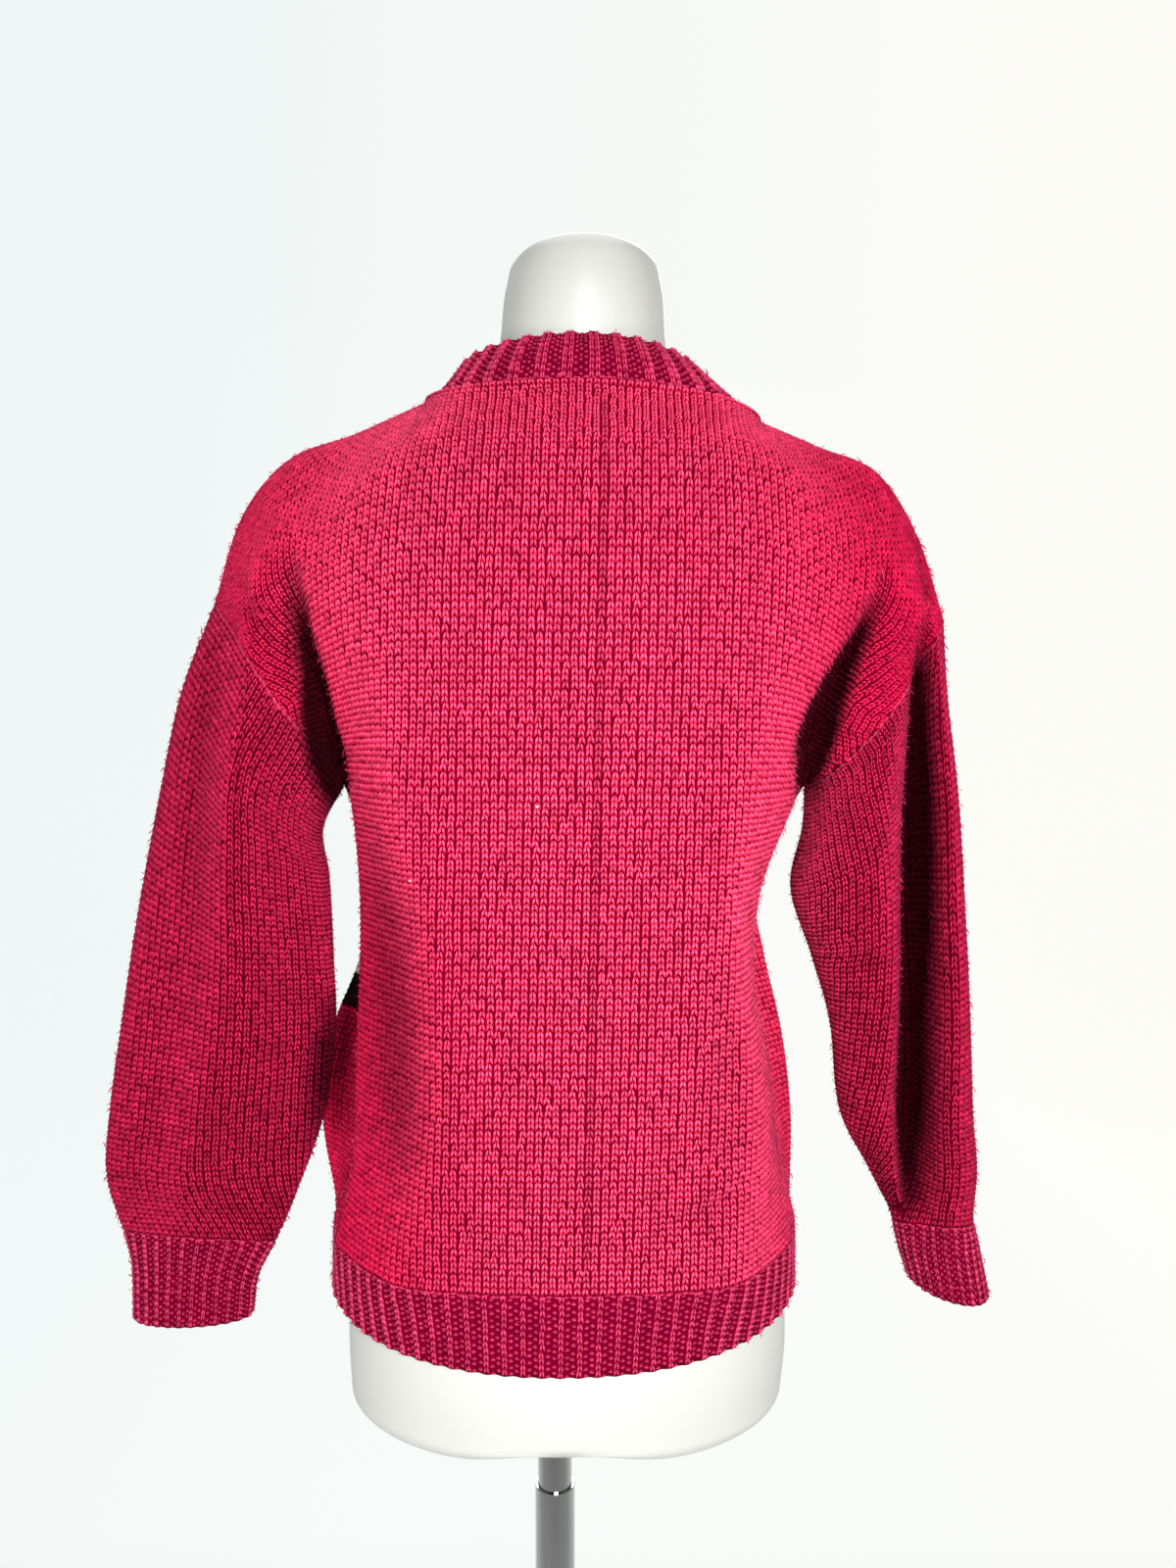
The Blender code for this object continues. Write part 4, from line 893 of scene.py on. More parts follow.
def wall_mesh(outer: Array, inner: Array, closed: bool) -> tuple[Array, Array]:
    """Points and four-sided faces of a thin wall between two grids.

    Args:
        outer: Outer grid, rows upwards.
        inner: Inner grid, of the same size.
        closed: Whether the last column joins the first one.

    Returns:
        Points, and faces as corners.
    """
    rows, wide = outer.shape[:2]
    start = rows * wide
    ids = np.arange(start).reshape(rows, wide)
    beside = np.roll(ids, -1, axis=1) if closed else ids[:, 1:]
    here = ids if closed else ids[:, :-1]
    skin = np.stack([here[:-1], beside[:-1], beside[1:], here[1:]], axis=-1).reshape(-1, 4)
    foot = np.stack([beside[0], here[0], here[0] + start, beside[0] + start], axis=-1)
    brow = np.stack([here[-1], beside[-1], beside[-1] + start, here[-1] + start], axis=-1)
    faces = [skin, skin[:, ::-1] + start, foot, brow]
    if not closed:
        left, right = ids[:, 0], ids[:, -1]
        faces.append(np.stack([left[:-1], left[1:], left[1:] + start, left[:-1] + start], axis=-1))
        faces.append(np.stack([right[1:], right[:-1], right[:-1] + start, right[1:] + start], axis=-1))
    return np.concatenate([outer.reshape(-1, 3), inner.reshape(-1, 3)]), np.concatenate(faces)


def add_piece(name: str, points: Array, faces: Array, material: bpy.types.Material,
              colours: Array | None = None, body: str = "figure") -> bpy.types.Object:
    """Make one named piece of the object.

    Args:
        name: The piece's name.
        points: Its points, in the shared frame.
        faces: Corners of its faces, all with the same count.
        material: Its finish.
        colours: Yarn colour at each point, with its painted shade and highlight, where it varies.
        body: The body that it rides on.

    Returns:
        The new object, at the origin.
    """
    mesh = bpy.data.meshes.new(name)
    mesh.vertices.add(len(points))
    mesh.vertices.foreach_set("co", points.astype(np.float32).ravel())
    mesh.loops.add(faces.size)
    mesh.loops.foreach_set("vertex_index", faces.astype(np.int32).ravel())
    mesh.polygons.add(len(faces))
    mesh.polygons.foreach_set("loop_start", np.arange(0, faces.size, faces.shape[1], dtype=np.int32))
    mesh.update(calc_edges=True)
    mesh.shade_smooth()
    if colours is not None:
        full = np.concatenate([colours, np.ones((len(colours), 1))], axis=1)
        shade = mesh.attributes.new(name="yarn", type="FLOAT_COLOR", domain="POINT")
        shade.data.foreach_set("color", full.astype(np.float32).ravel())
    mesh.materials.append(material)
    piece = bpy.data.objects.new(name, mesh)
    bpy.context.collection.objects.link(piece)
    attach(piece, body)
    LOG.info("%s: %d points, %d faces", name, len(points), len(faces))
    return piece


def add_loops(wall: bpy.types.Object, loops: Loops, wool: bpy.types.Material) -> None:
    """Make one piece of a wall's loops.

    Args:
        wall: The cloth's wall.
        loops: All that is laid on it.
        wool: Their finish.
    """
    laid = add_piece(wall.name + "_loops", np.concatenate(loops.points),
                     np.concatenate(loops.faces), wool, np.concatenate(loops.colours))


# Finishes -----------------------------------------------------------------------


@dataclass
class Nodes:
    """A short way to build a material's node tree."""

    material: bpy.types.Material

    def add(self, kind: str, values: dict | None = None, **settings: object) -> bpy.types.Node:
        """A new node with its properties and plain socket values set."""
        node = self.material.node_tree.nodes.new(kind)
        for key, value in settings.items():
            setattr(node, key, value)
        for key, value in (values or {}).items():
            node.inputs[key].default_value = value
        return node

    def link(self, source: bpy.types.NodeSocket, target: bpy.types.NodeSocket) -> None:
        """Join two sockets."""
        self.material.node_tree.links.new(source, target)

    def place(self) -> bpy.types.NodeSocket:
        """Where a point lies on its object."""
        return self.add("ShaderNodeTexCoord").outputs["Object"]

    def noise(self, place: bpy.types.NodeSocket, scale: float, detail: float,
              roughness: float = 0.5) -> bpy.types.NodeSocket:
        """Cloudy noise at a place."""
        noise = self.add("ShaderNodeTexNoise",
                         {"Scale": scale, "Detail": detail, "Roughness": roughness})
        self.link(place, noise.inputs["Vector"])
        return noise.outputs["Fac"]

    def carried(self, value: bpy.types.NodeSocket, start: Pair, end: Pair) -> bpy.types.NodeSocket:
        """A value carried from one range to another, and held inside it."""
        carry = self.add("ShaderNodeMapRange", {"From Min": start[0], "From Max": start[1],
                                                "To Min": end[0], "To Max": end[1]})
        self.link(value, carry.inputs["Value"])
        return carry.outputs["Result"]

    def joined(self, operation: str, one: bpy.types.NodeSocket,
               other: bpy.types.NodeSocket) -> bpy.types.NodeSocket:
        """Two values joined by an operation."""
        joint = self.add("ShaderNodeMath", operation=operation)
        self.link(one, joint.inputs[0])
        self.link(other, joint.inputs[1])
        return joint.outputs["Value"]

    def bumped(self, shader: bpy.types.Node, height: bpy.types.NodeSocket, strength: float,
               distance: float) -> None:
        """Give a shader a fine relief."""
        bump = self.add("ShaderNodeBump", {"Strength": strength, "Distance": distance})
        self.link(height, bump.inputs["Height"])
        self.link(bump.outputs["Normal"], shader.inputs["Normal"])


def new_material(name: str) -> tuple[Nodes, bpy.types.Node]:
    """A material with its Principled shader, and the helper that adds nodes to it."""
    material = bpy.data.materials.new(name)
    material.use_nodes = True
    return Nodes(material), material.node_tree.nodes["Principled BSDF"]


@dataclass(frozen=True)
class Wool:
    """Spun wool: a matt yarn with loose fibres, coloured by the piece's yarn colour with its painted
    shade and highlight.
    """

    name: str
    fibre_scale: float = 1500.0
    fibre_roughness: float = 0.7
    mottle_scale: float = 55.0
    noise_range: Pair = (0.3, 0.7)
    fibre_tones: Pair = (0.72, 1.26)
    mottle_tones: Pair = (0.90, 1.10)
    bump: float = 0.6
    bump_depth: float = 0.0006
    roughness: float = 0.92
    sheen: float = 0.01
    sheen_roughness: float = 0.45
    sheen_tint: Triple = (1.0, 0.42, 0.55)

    def build(self) -> bpy.types.Material:
        """Make the material: yarn colour with painted shade, times mottling, with a fibre bump and
        sheen.
        """
        nodes, shader = new_material(self.name)
        yarn = nodes.add("ShaderNodeAttribute", attribute_name="yarn")
        place = nodes.place()
        fibre = nodes.noise(place, self.fibre_scale, 3.0, self.fibre_roughness)
        mottle = nodes.noise(place, self.mottle_scale, 4.0)
        shade = nodes.joined("MULTIPLY", nodes.carried(fibre, self.noise_range, self.fibre_tones),
                             nodes.carried(mottle, self.noise_range, self.mottle_tones))
        tinted = nodes.add("ShaderNodeVectorMath", operation="SCALE")
        nodes.link(yarn.outputs["Color"], tinted.inputs[0])
        nodes.link(shade, tinted.inputs["Scale"])
        nodes.link(tinted.outputs["Vector"], shader.inputs["Base Color"])
        nodes.bumped(shader, fibre, self.bump, self.bump_depth)
        shader.inputs["Roughness"].default_value = self.roughness
        shader.inputs["Specular IOR Level"].default_value = 0.0
        shader.inputs["Sheen Weight"].default_value = self.sheen
        shader.inputs["Sheen Roughness"].default_value = self.sheen_roughness
        shader.inputs["Sheen Tint"].default_value = (*self.sheen_tint, 1.0)
        return nodes.material


@dataclass(frozen=True)
class Moulded:
    """Smooth moulded shell with a soft gloss and the faintest mottling."""

    name: str
    colour: Triple
    roughness: float
    cloud_scale: float = 9.0
    cloud_range: Pair = (0.35, 0.70)
    cloud_tone: float = 0.96
    grain_scale: float = 420.0
    bump: float = 0.06
    bump_depth: float = 0.0004

    def build(self) -> bpy.types.Material:
        """Make the material."""
        nodes, shader = new_material(self.name)
        place = nodes.place()
        ramp = nodes.add("ShaderNodeValToRGB")
        dim, full = ramp.color_ramp.elements
        dim.position, full.position = self.cloud_range
        dim.color = (*(self.cloud_tone * np.array(self.colour)), 1.0)
        full.color = (*self.colour, 1.0)
        nodes.link(nodes.noise(place, self.cloud_scale, 5.0), ramp.inputs["Fac"])
        nodes.link(ramp.outputs["Color"], shader.inputs["Base Color"])
        nodes.bumped(shader, nodes.noise(place, self.grain_scale, 2.0), self.bump, self.bump_depth)
        shader.inputs["Roughness"].default_value = self.roughness
        return nodes.material


@dataclass(frozen=True)
class Chrome:
    """Polished plating with fine drawn lines along the tube and light handling marks."""

    name: str
    colour: Triple = (0.43, 0.44, 0.44)
    line_stretch: Triple = (900.0, 900.0, 6.0)
    mark_scale: float = 30.0
    mark_range: Pair = (0.35, 0.75)
    gloss: Pair = (0.07, 0.18)
    bump: float = 0.05
    bump_depth: float = 0.0002

    def build(self) -> bpy.types.Material:
        """Make the material."""
        nodes, shader = new_material(self.name)
        place = nodes.place()
        stretch = nodes.add("ShaderNodeMapping", {"Scale": self.line_stretch})
        nodes.link(place, stretch.inputs["Vector"])
        lines = nodes.noise(stretch.outputs["Vector"], 1.0, 2.0)
        marks = nodes.noise(place, self.mark_scale, 6.0)
        nodes.link(nodes.carried(marks, self.mark_range, self.gloss), shader.inputs["Roughness"])
        nodes.bumped(shader, lines, self.bump, self.bump_depth)
        shader.inputs["Base Color"].default_value = (*self.colour, 1.0)
        shader.inputs["Metallic"].default_value = 1.0
        return nodes.material


@dataclass(frozen=True)
class DyeAndShade:
    """The yarn's colours and how much they vary, and the painted shade and painted highlight laid over
    them.
    """

    raspberry: Triple = (0.82, 0.0008, 0.074)
    # Painted shade: the ribbed bands take a darker copy of the raspberry, for the shade that falls on
    # them.
    rib: Triple = (0.505, 0.0008, 0.060)
    lint: Triple = (0.80, 0.72, 0.74)
    black: Triple = (0.012, 0.010, 0.011)
    red: Triple = (0.55, 0.020, 0.012)
    cream: Triple = (0.80, 0.76, 0.64)
    # Painted shade: the wall under the loops is coloured dark as shade between them, in the stockinette
    # and in the bands, and a little less dark along its edge rows.
    shell: float = 0.14
    rib_wall_shade: float = 0.30
    edge: float = 0.30
    spread: float = 0.11
    # Painted highlight on the tops of the loops, less of it towards the sides of the body, and painted
    # shade darkening the yarn towards the sides.
    bloom: float = 2.2
    side_highlight: float = 0.15
    side_shade: float = 0.85

    def stitches(self, base: Triple, count: int,
                 rng: np.random.Generator) -> Array:
        """A colour for each stitch, spread a little in brightness."""
        return np.array(base)[None] * (1.0 + self.spread * rng.standard_normal(count))[:, None]


# The pieces ---------------------------------------------------------------------


@dataclass(frozen=True)
class PaintedLightBand:
    """A painted pool of light: an upright band down the body where the yarn is painted brightest,
    falling to painted shade at the sides; it widens upwards.
    """

    middle_x: float = 0.04
    half_width: float = 0.13
    widening: float = 0.06
    widen_from: float = 1.0
    widen_over: float = 0.25

    def share(self, spots: Array) -> Array:
        """One in the band's middle, falling to nought at the sides."""
        high = np.clip((spots[:, 2] - self.widen_from) / self.widen_over, 0.0, 1.0)
        gap = np.abs(spots[:, 0] - self.middle_x * (1.0 - high))
        return np.exp(-((gap / (self.half_width + self.widening * high)) ** 4))


@dataclass
class Gauge:
    """How the body and sleeves are knitted."""

    wale: float = 0.0054
    course: float = 0.0043
    wander: float = 0.05
    overhang: float = 0.25

    def places(self, chart: Chart, rng: np.random.Generator) -> tuple[Array, Array]:
        """Where the stitches of a chart lie: whole wales and courses inside its edges."""
        top = chart.rise[-1]
        courses = max(1, round(top / self.course))
        v = (np.arange(courses) + 0.5) * top / courses
        low, high = chart.edges(v)
        first, last = math.floor(low.min() / self.wale), math.ceil(high.max() / self.wale)
        u = np.arange(first, last + 1) * self.wale
        places = np.broadcast_to(u, (courses, len(u)))
        margin = -self.overhang * self.wale
        inside = (places > (low + margin)[:, None]) & (places < (high - margin)[:, None])
        across = places[inside]
        up = np.broadcast_to(v[:, None], places.shape)[inside]
        across = across + self.wander * self.wale * rng.standard_normal(len(across))
        up = up + self.wander * self.course * rng.standard_normal(len(up))
        return across, up


@dataclass
class Stockinette:
    """A plain knitted piece: its wall and the loops on its outer side."""

    name: str
    node: str
    grid: Array
    middle: int
    closed: bool
    seed: int
    flat: Pair
    area: float
    thickness: float = 0.0016
    sunk: float = 0.0009
    tied: tuple[bool, bool] = (True, True)
    edge_fade: float = 0.016
    gauge: Gauge = field(default_factory=Gauge)
    dye: DyeAndShade = field(default_factory=DyeAndShade)
    blocks: tuple[tuple[float, float, float, str], ...] = ()
    specks: tuple[Pair, ...] = ()
    dark_wale: Triple | None = None
    dark_tone: float = 0.66
    dark_reach: float = 0.003
    hair_share: float = 0.85
    speck_size: Pair = (0.0022, 0.0030)
    speck_raised: float = 1.5
    band: PaintedLightBand = field(default_factory=PaintedLightBand)
    sunken: Array = field(init=False)

    def fold(self) -> None:
        """Push the folds into the piece, fading out at its ribbed ends, and sink its wall."""
        up = run_length(self.grid, 0)
        near = np.where(self.tied[0], up, self.edge_fade)
        near = np.minimum(near, np.where(self.tied[1], up[-1:] - up, self.edge_fade))
        share = np.clip(near / self.edge_fade, 0.0, 1.0)
        share = share * share * (3 - 2 * share)
        folds = [(line, line.push(self.grid)) for line in BACK_FOLDS + FRONT_FOLDS]
        grid = self.grid.copy()
        grid[..., 1] += sum(line.pressed * push for line, push in folds) * share
        inward = sum(np.maximum(-line.face.value * push, 0.0) for line, push in folds)
        self.sunken = inward * share
        self.grid = grid - lapped_normals(grid, self.closed) * self.sunk

    def build(self, wool: bpy.types.Material) -> None:
        """Make the wall and the loops."""
        self.fold()
        open_grid = self.grid[:, :-1] if self.closed else self.grid
        inner = open_grid - grid_normals(open_grid, self.closed) * self.thickness
        points, faces = wall_mesh(open_grid, inner, self.closed)
        # Painted shade: the wall under the loops is coloured dark as shade between them, less dark along
        # its edges, and darker still in folds.
        light = np.full(open_grid.shape[:2], self.dye.shell)
        light[[0, -1]] = self.dye.edge
        if not self.closed:
            light[:, [0, -1]] = self.dye.edge
        light = light * fold_shade(self.sunken[:, :open_grid.shape[1]])
        shell = np.array(self.dye.raspberry) * np.tile(light.ravel(), 2)[:, None]
        wall = add_piece(self.name, points, faces, wool, shell)
        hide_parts(self.node)
        chart = Chart(self.grid, self.middle, closed=self.closed, sunken=self.sunken)
        rng = np.random.default_rng(self.seed)
        u, v = self.gauge.places(chart, rng)
        read = chart.read(u, v)
        spots = read[:, :3]
        colours = self.dye.stitches(self.dye.raspberry, len(u), rng)
        for low, high, reach, name in self.blocks:
            hit = (spots[:, 2] > low) & (spots[:, 2] < high) & (spots[:, 0] < reach)
            colours[hit] = self.dye.stitches(getattr(self.dye, name), int(hit.sum()), rng)
        if self.dark_wale is not None:
            x, low, high = self.dark_wale
            middle = np.median(u[np.abs(spots[:, 0] - x) < self.dark_reach])
            hit = np.abs(u - middle) < 0.5 * self.gauge.wale
            colours[hit & (spots[:, 2] > low) & (spots[:, 2] < high)] *= self.dark_tone
        # Painted shade: loops deep in a fold are darkened, as if light didn't reach them.
        colours = colours * fold_shade(read[:, 6])[:, None]
        loops = Loops(bloom=self.dye.bloom)
        course = chart.rise[-1] / max(1, round(chart.rise[-1] / self.gauge.course))
        size = (self.gauge.wale, course)
        # Painted light: in a band down the middle of the body the yarn is painted brighter with more
        # painted highlight, and away from it falls to painted shade.
        share = self.band.share(spots)
        bloom = self.dye.bloom * (self.dye.side_highlight + (1.0 - self.dye.side_highlight) * share)
        colours = colours * (self.dye.side_shade + (1.0 - self.dye.side_shade) * share)[:, None]
        for mirror in (False, True):
            loops.lay(chart, KNIT_LEG, u, v, size, colours, mirror, bloom=bloom)
        if not self.tied[1]:
            self.seam(loops, chart, course, rng)
        picked = rng.random(len(u)) < self.hair_share
        paler = (1.0 - HAIR_PALENESS) * colours[picked]
        paler = paler + HAIR_PALENESS * PALEST * colours[picked][:, :1]
        loops.hairs(chart, u[picked], v[picked], paler, rng)
        for x, z in self.specks:
            near = np.argmin(np.hypot(spots[:, 0] - x, spots[:, 2] - z))
            loops.lay(chart, PURL_BUMP, u[near:near + 1], v[near:near + 1], self.speck_size,
                      np.array([self.dye.lint]), raised=self.speck_raised)
        add_loops(wall, loops, wool)

    def seam(self, loops: Loops, chart: Chart, course: float, rng: np.random.Generator) -> None:
        """Lay the sewn edge at the piece's top: uneven bumps that stand over the join."""
        low, high = chart.edges(chart.rise[-1:])
        count = round(float(high[0] - low[0]) / self.gauge.wale)
        u = low[0] + (np.arange(count) + 0.5) * (high[0] - low[0]) / count
        u = u + 0.14 * self.gauge.wale * rng.standard_normal(count)
        v = chart.rise[-1] - (0.20 + 0.20 * rng.standard_normal(count)) * course
        colours = self.dye.stitches(self.dye.raspberry, count, rng)
        # Painted shade in folds, as on the loops.
        colours = colours * fold_shade(chart.read(u, v)[:, 6])[:, None]
        loops.lay(chart, PURL_BUMP, u, v, (1.2 * self.gauge.wale, 1.7 * course), colours, raised=1.2)


@dataclass
class RibBand:
    """A ribbed band: a wall with raised ribs, knit columns on them and purl bumps between."""

    name: str
    node: str
    base: Array
    ribs: int
    height: float
    closed: bool
    seed: int
    flat: Pair
    area: float
    thickness: float = 0.0016
    sunk: float = 0.0009
    steps: int = 8
    seam_share: float = 0.45
    seam_row: int = -1
    knit_share: float = 0.34
    knit_columns: int = 1
    purl_columns: int = 2
    course: float = 0.0043
    swell_over: float = 0.006
    knit_wander: Pair = (0.05, 0.07)
    # Painted light: knit columns on the raised ribs are painted lighter and the purl bumps between them
    # darker.
    knit_highlight: float = 1.15
    purl_wander: Pair = (0.06, 0.09)
    purl_shade: float = 0.86
    purl_stagger: float = 0.25
    purl_length: float = 0.78
    purl_raised: float = 0.8
    seam_pitch: float = 0.0052
    seam_size: Pair = (0.0058, 0.9)
    seam_wander: Pair = (0.1, 0.15)
    seam_inset: float = 0.1
    hair_share: float = 1.0
    hair_tone: float = 0.8
    dye: DyeAndShade = field(default_factory=DyeAndShade)

    def relief(self) -> tuple[Array, Array]:
        """The ribbed outer grid and its plain inner one, both with even columns."""
        length = run_length(self.base, 1)
        share = np.arange(self.ribs * self.steps + 1) / (self.ribs * self.steps)
        even = np.stack([
            np.stack([np.interp(share * along[-1], along, line[:, k]) for k in range(3)], axis=-1)
            for along, line in zip(length, self.base)
        ])
        normals = lapped_normals(even, self.closed)
        wave = 0.5 - 0.5 * np.cos(2 * np.pi * share * self.ribs)
        away = run_length(even, 0)
        away = away if self.seam_row == 0 else away[-1:] - away
        rise = np.clip(away / self.swell_over, 0.0, 1.0)
        amount = self.seam_share + (1 - self.seam_share) * rise
        outer = even + normals * (wave[None] * amount * self.height - self.sunk)[..., None]
        return outer, even - normals * (self.sunk + self.thickness)

    def build(self, wool: bpy.types.Material) -> None:
        """Make the wall and its loops."""
        outer, inner = self.relief()
        cut = slice(None, -1) if self.closed else slice(None)
        points, faces = wall_mesh(outer[:, cut], inner[:, cut], self.closed)
        # Painted shade: the wall between the ribs' loops is coloured dark, as shade between them.
        shell_colour = np.array(self.dye.rib) * self.dye.rib_wall_shade
        wall = add_piece(self.name, points, faces, wool,
                         np.broadcast_to(shell_colour, (len(points), 3)))
        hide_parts(self.node)
        chart = Chart(outer, even=True, closed=self.closed, step=0.0010)
        rng = np.random.default_rng(self.seed)
        pitch = (chart.high[0] - chart.low[0]) / self.ribs
        courses = max(1, round(chart.rise[-1] / self.course))
        course = chart.rise[-1] / courses
        loops = Loops(bloom=self.dye.bloom)
        up = np.repeat((np.arange(courses) + 0.5) * course, self.ribs)
        middle = np.tile((np.arange(self.ribs) + 0.5) * pitch, courses)
        wide = self.knit_share * pitch / self.knit_columns
        for place in np.arange(self.knit_columns) - (self.knit_columns - 1) / 2:
            v = up + self.knit_wander[1] * course * rng.standard_normal(len(up))
            u = middle + place * wide + self.knit_wander[0] * wide * rng.standard_normal(len(up))
            colours = self.dye.stitches(self.dye.rib, len(v), rng) * self.knit_highlight
            for mirror in (False, True):
                loops.lay(chart, KNIT_LEG, u, v, (wide, course), colours, mirror)
        wide = (1.0 - self.knit_share) * pitch / self.purl_columns
        edge = middle - 0.5 * pitch
        for number in range(self.purl_columns):
            u = edge + (number - (self.purl_columns - 1) / 2) * wide
            keep = np.full(len(u), True) if self.closed else u > 0.1 * pitch
            u = (u + self.purl_wander[0] * wide * rng.standard_normal(len(u)))[keep]
            v = (up + (self.purl_stagger if number % 2 else -self.purl_stagger) * course)[keep]
            v = v + self.purl_wander[1] * course * rng.standard_normal(len(v))
            colours = self.dye.stitches(self.dye.rib, len(u), rng) * self.purl_shade
            loops.lay(chart, PURL_BUMP, u, v, (wide, self.purl_length * course), colours,
                      raised=self.purl_raised)
        count = round(self.ribs * pitch / self.seam_pitch)
        row = (np.arange(count) + 0.5) * self.ribs * pitch / count
        row = row + self.seam_wander[0] * self.seam_pitch * rng.standard_normal(count)
        inset = self.seam_inset * course
        seam = inset if self.seam_row == 0 else chart.rise[-1] - inset
        seam = seam + self.seam_wander[1] * course * rng.standard_normal(count)
        colours = self.dye.stitches(self.dye.rib, count, rng)
        bump_width, bump_length = self.seam_size
        loops.lay(chart, PURL_BUMP, row, seam, (bump_width, bump_length * course), colours)
        picked = rng.random(len(up)) < self.hair_share
        paler = self.dye.stitches(self.dye.rib, int(picked.sum()), rng) * self.hair_tone
        paler = paler + HAIR_PALENESS * PALEST * paler[:, :1]
        loops.hairs(chart, middle[picked], up[picked], paler, rng)
        add_loops(wall, loops, wool)


@dataclass
class Pullover:
    """The sweater: back, front, two sleeves and their ribbed bands."""

    drape: Drape = field(default_factory=Drape)
    hem_ribs: int = 74
    cuff_ribs: int = 24
    neck_ribs: int = 36
    hem_rib_height: float = 0.0014
    cuff_rib_height: float = 0.0012
    neck_rib_height: float = 0.0020
    cuff_rows: int = 15
    hem_rows: int = 14
    hem_lift: float = 0.012
    neck_hug: float = 0.0065
    neck_rows: int = 12
    neck_steps: int = 144
    neck_side_bow: float = 1.6
    # Painted shade: the sleeves' raspberry is a darker copy of the body's, for the less light that falls
    # on them; their painted highlight is a little stronger and falls off less at the sides, and no
    # painted side shade is laid on them.
    arm_dye: DyeAndShade = field(default_factory=lambda: DyeAndShade(raspberry=(0.50, 0.0008, 0.052), bloom=2.5,
                                                       side_highlight=0.30, side_shade=1.0))

    def body(self, wool: bpy.types.Material) -> None:
        """Make the back and the front."""
        middle = sum(self.drape.width_steps)
        back = self.drape.panel(Face.BACK)
        front = self.drape.panel(Face.FRONT)[:, ::-1]
        Stockinette("back_panel", "back", back, middle, False, 11, (0.62, 0.64), 0.30,
                    specks=((-0.009, 1.105), (-0.089, 1.059), (0.131, 1.003)),
                    dark_wale=(0.031, 0.798, 1.365)).build(wool)
        Stockinette("front_panel", "front", front, middle, False, 12, (0.63, 0.64), 0.305,
                    blocks=((1.100, 1.116, -0.112, "black"), (1.030, 1.100, -0.120, "red"),
                            (0.965, 1.010, -0.115, "cream"),
                            (0.940, 0.965, -0.108, "black"))).build(wool)
        edge_back = self.hem_edge(back[0])
        edge_front = self.hem_edge(front[0])
        share = np.linspace(0.0, 1.0, self.hem_rows)[:, None, None]
        for name, seam, edge, seed in (("hem_back", back[0], edge_back, 21),
                                       ("hem_front", front[0], edge_front, 22)):
            RibBand(name + "_band", name, edge + (seam - edge) * share, self.hem_ribs // 2,
                    self.hem_rib_height, False, seed, (0.47, 0.056), 0.0263).build(wool)

    def hem_edge(self, seam: Array) -> Array:
        """The hem's lower edge below each point of the seam above it."""
        middle = axis_x(HEM_EDGE)
        angle = np.arctan2(seam[:, 1], seam[:, 0] - middle)
        half_width = np.where(np.cos(angle) < 0, HEM_LEFT, HEM_RIGHT)
        x = middle + half_width * np.cos(angle)
        height = HEM_EDGE + self.hem_lift * np.cos(angle) ** 4
        return np.stack([x, HEM_DEPTH * np.sin(angle), height], axis=-1)

    def sleeves(self, wool: bpy.types.Material) -> None:
        """Make both sleeves and their cuffs."""
        for side, seed in ((Side.LEFT, 31), (Side.RIGHT, 41)):
            turned = -1 if side is Side.LEFT else 1
            grid = self.drape.tube(side, 0.0, CUFF_SEAM_REACH, self.drape.sleeve_rings)
            Stockinette("arm_" + side.key, "sleeve_" + side.key, grid[::-1, ::turned],
                        self.drape.sleeve_half, True, seed, (0.41, 0.47), 0.142,
                        tied=(True, False), dye=self.arm_dye).build(wool)
            cuff = self.drape.tube(side, CUFF_SEAM_REACH, CUFF_EDGE_REACH, self.cuff_rows)
            RibBand("wrist_" + side.key, "cuff_" + side.key, cuff[::-1, ::turned], self.cuff_ribs,
                    self.cuff_rib_height, True, seed + 1, (0.21, 0.060), 0.0115).build(wool)

    def neckband(self, wool: bpy.types.Material) -> None:
        """Make the ribbed neckband."""
        angle = np.linspace(0.0, 2 * math.pi, self.neck_steps + 1)
        seam = self.drape.neck(angle, "seam")
        edge = self.drape.neck(angle, "edge")
        outward, upward = NECK_LEAN
        radial = seam - np.array([axis_x(SHOULDER_TOP), 0.0, 0.0])
        radial[:, 2] = 0.0
        out = unit(outward * unit(radial) + np.array([0.0, 0.0, upward]))
        share = np.linspace(0.0, 1.0, self.neck_rows)[:, None, None]
        bow = NECK_BOW * (1.0 - self.neck_side_bow * np.sin(angle) ** 2)[:, None]
        base = seam + (edge - seam) * share + out * bow * np.sin(np.pi * share)
        hug = self.neck_hug * (np.abs(np.sin(angle)) ** 3)[:, None] * (1.0 - share) ** 1.5
        base = base - out * hug
        RibBand("neck_rib", "neckband", base, self.neck_ribs, self.neck_rib_height, True, 51,
                (0.675, 0.042), 0.0238, seam_row=0, seam_share=0.1, knit_share=0.44, knit_columns=2,
                purl_columns=3).build(wool)

    def build(self, wool: bpy.types.Material) -> None:
        """Make every knitted piece."""
        self.body(wool)
        self.sleeves(wool)
        self.neckband(wool)


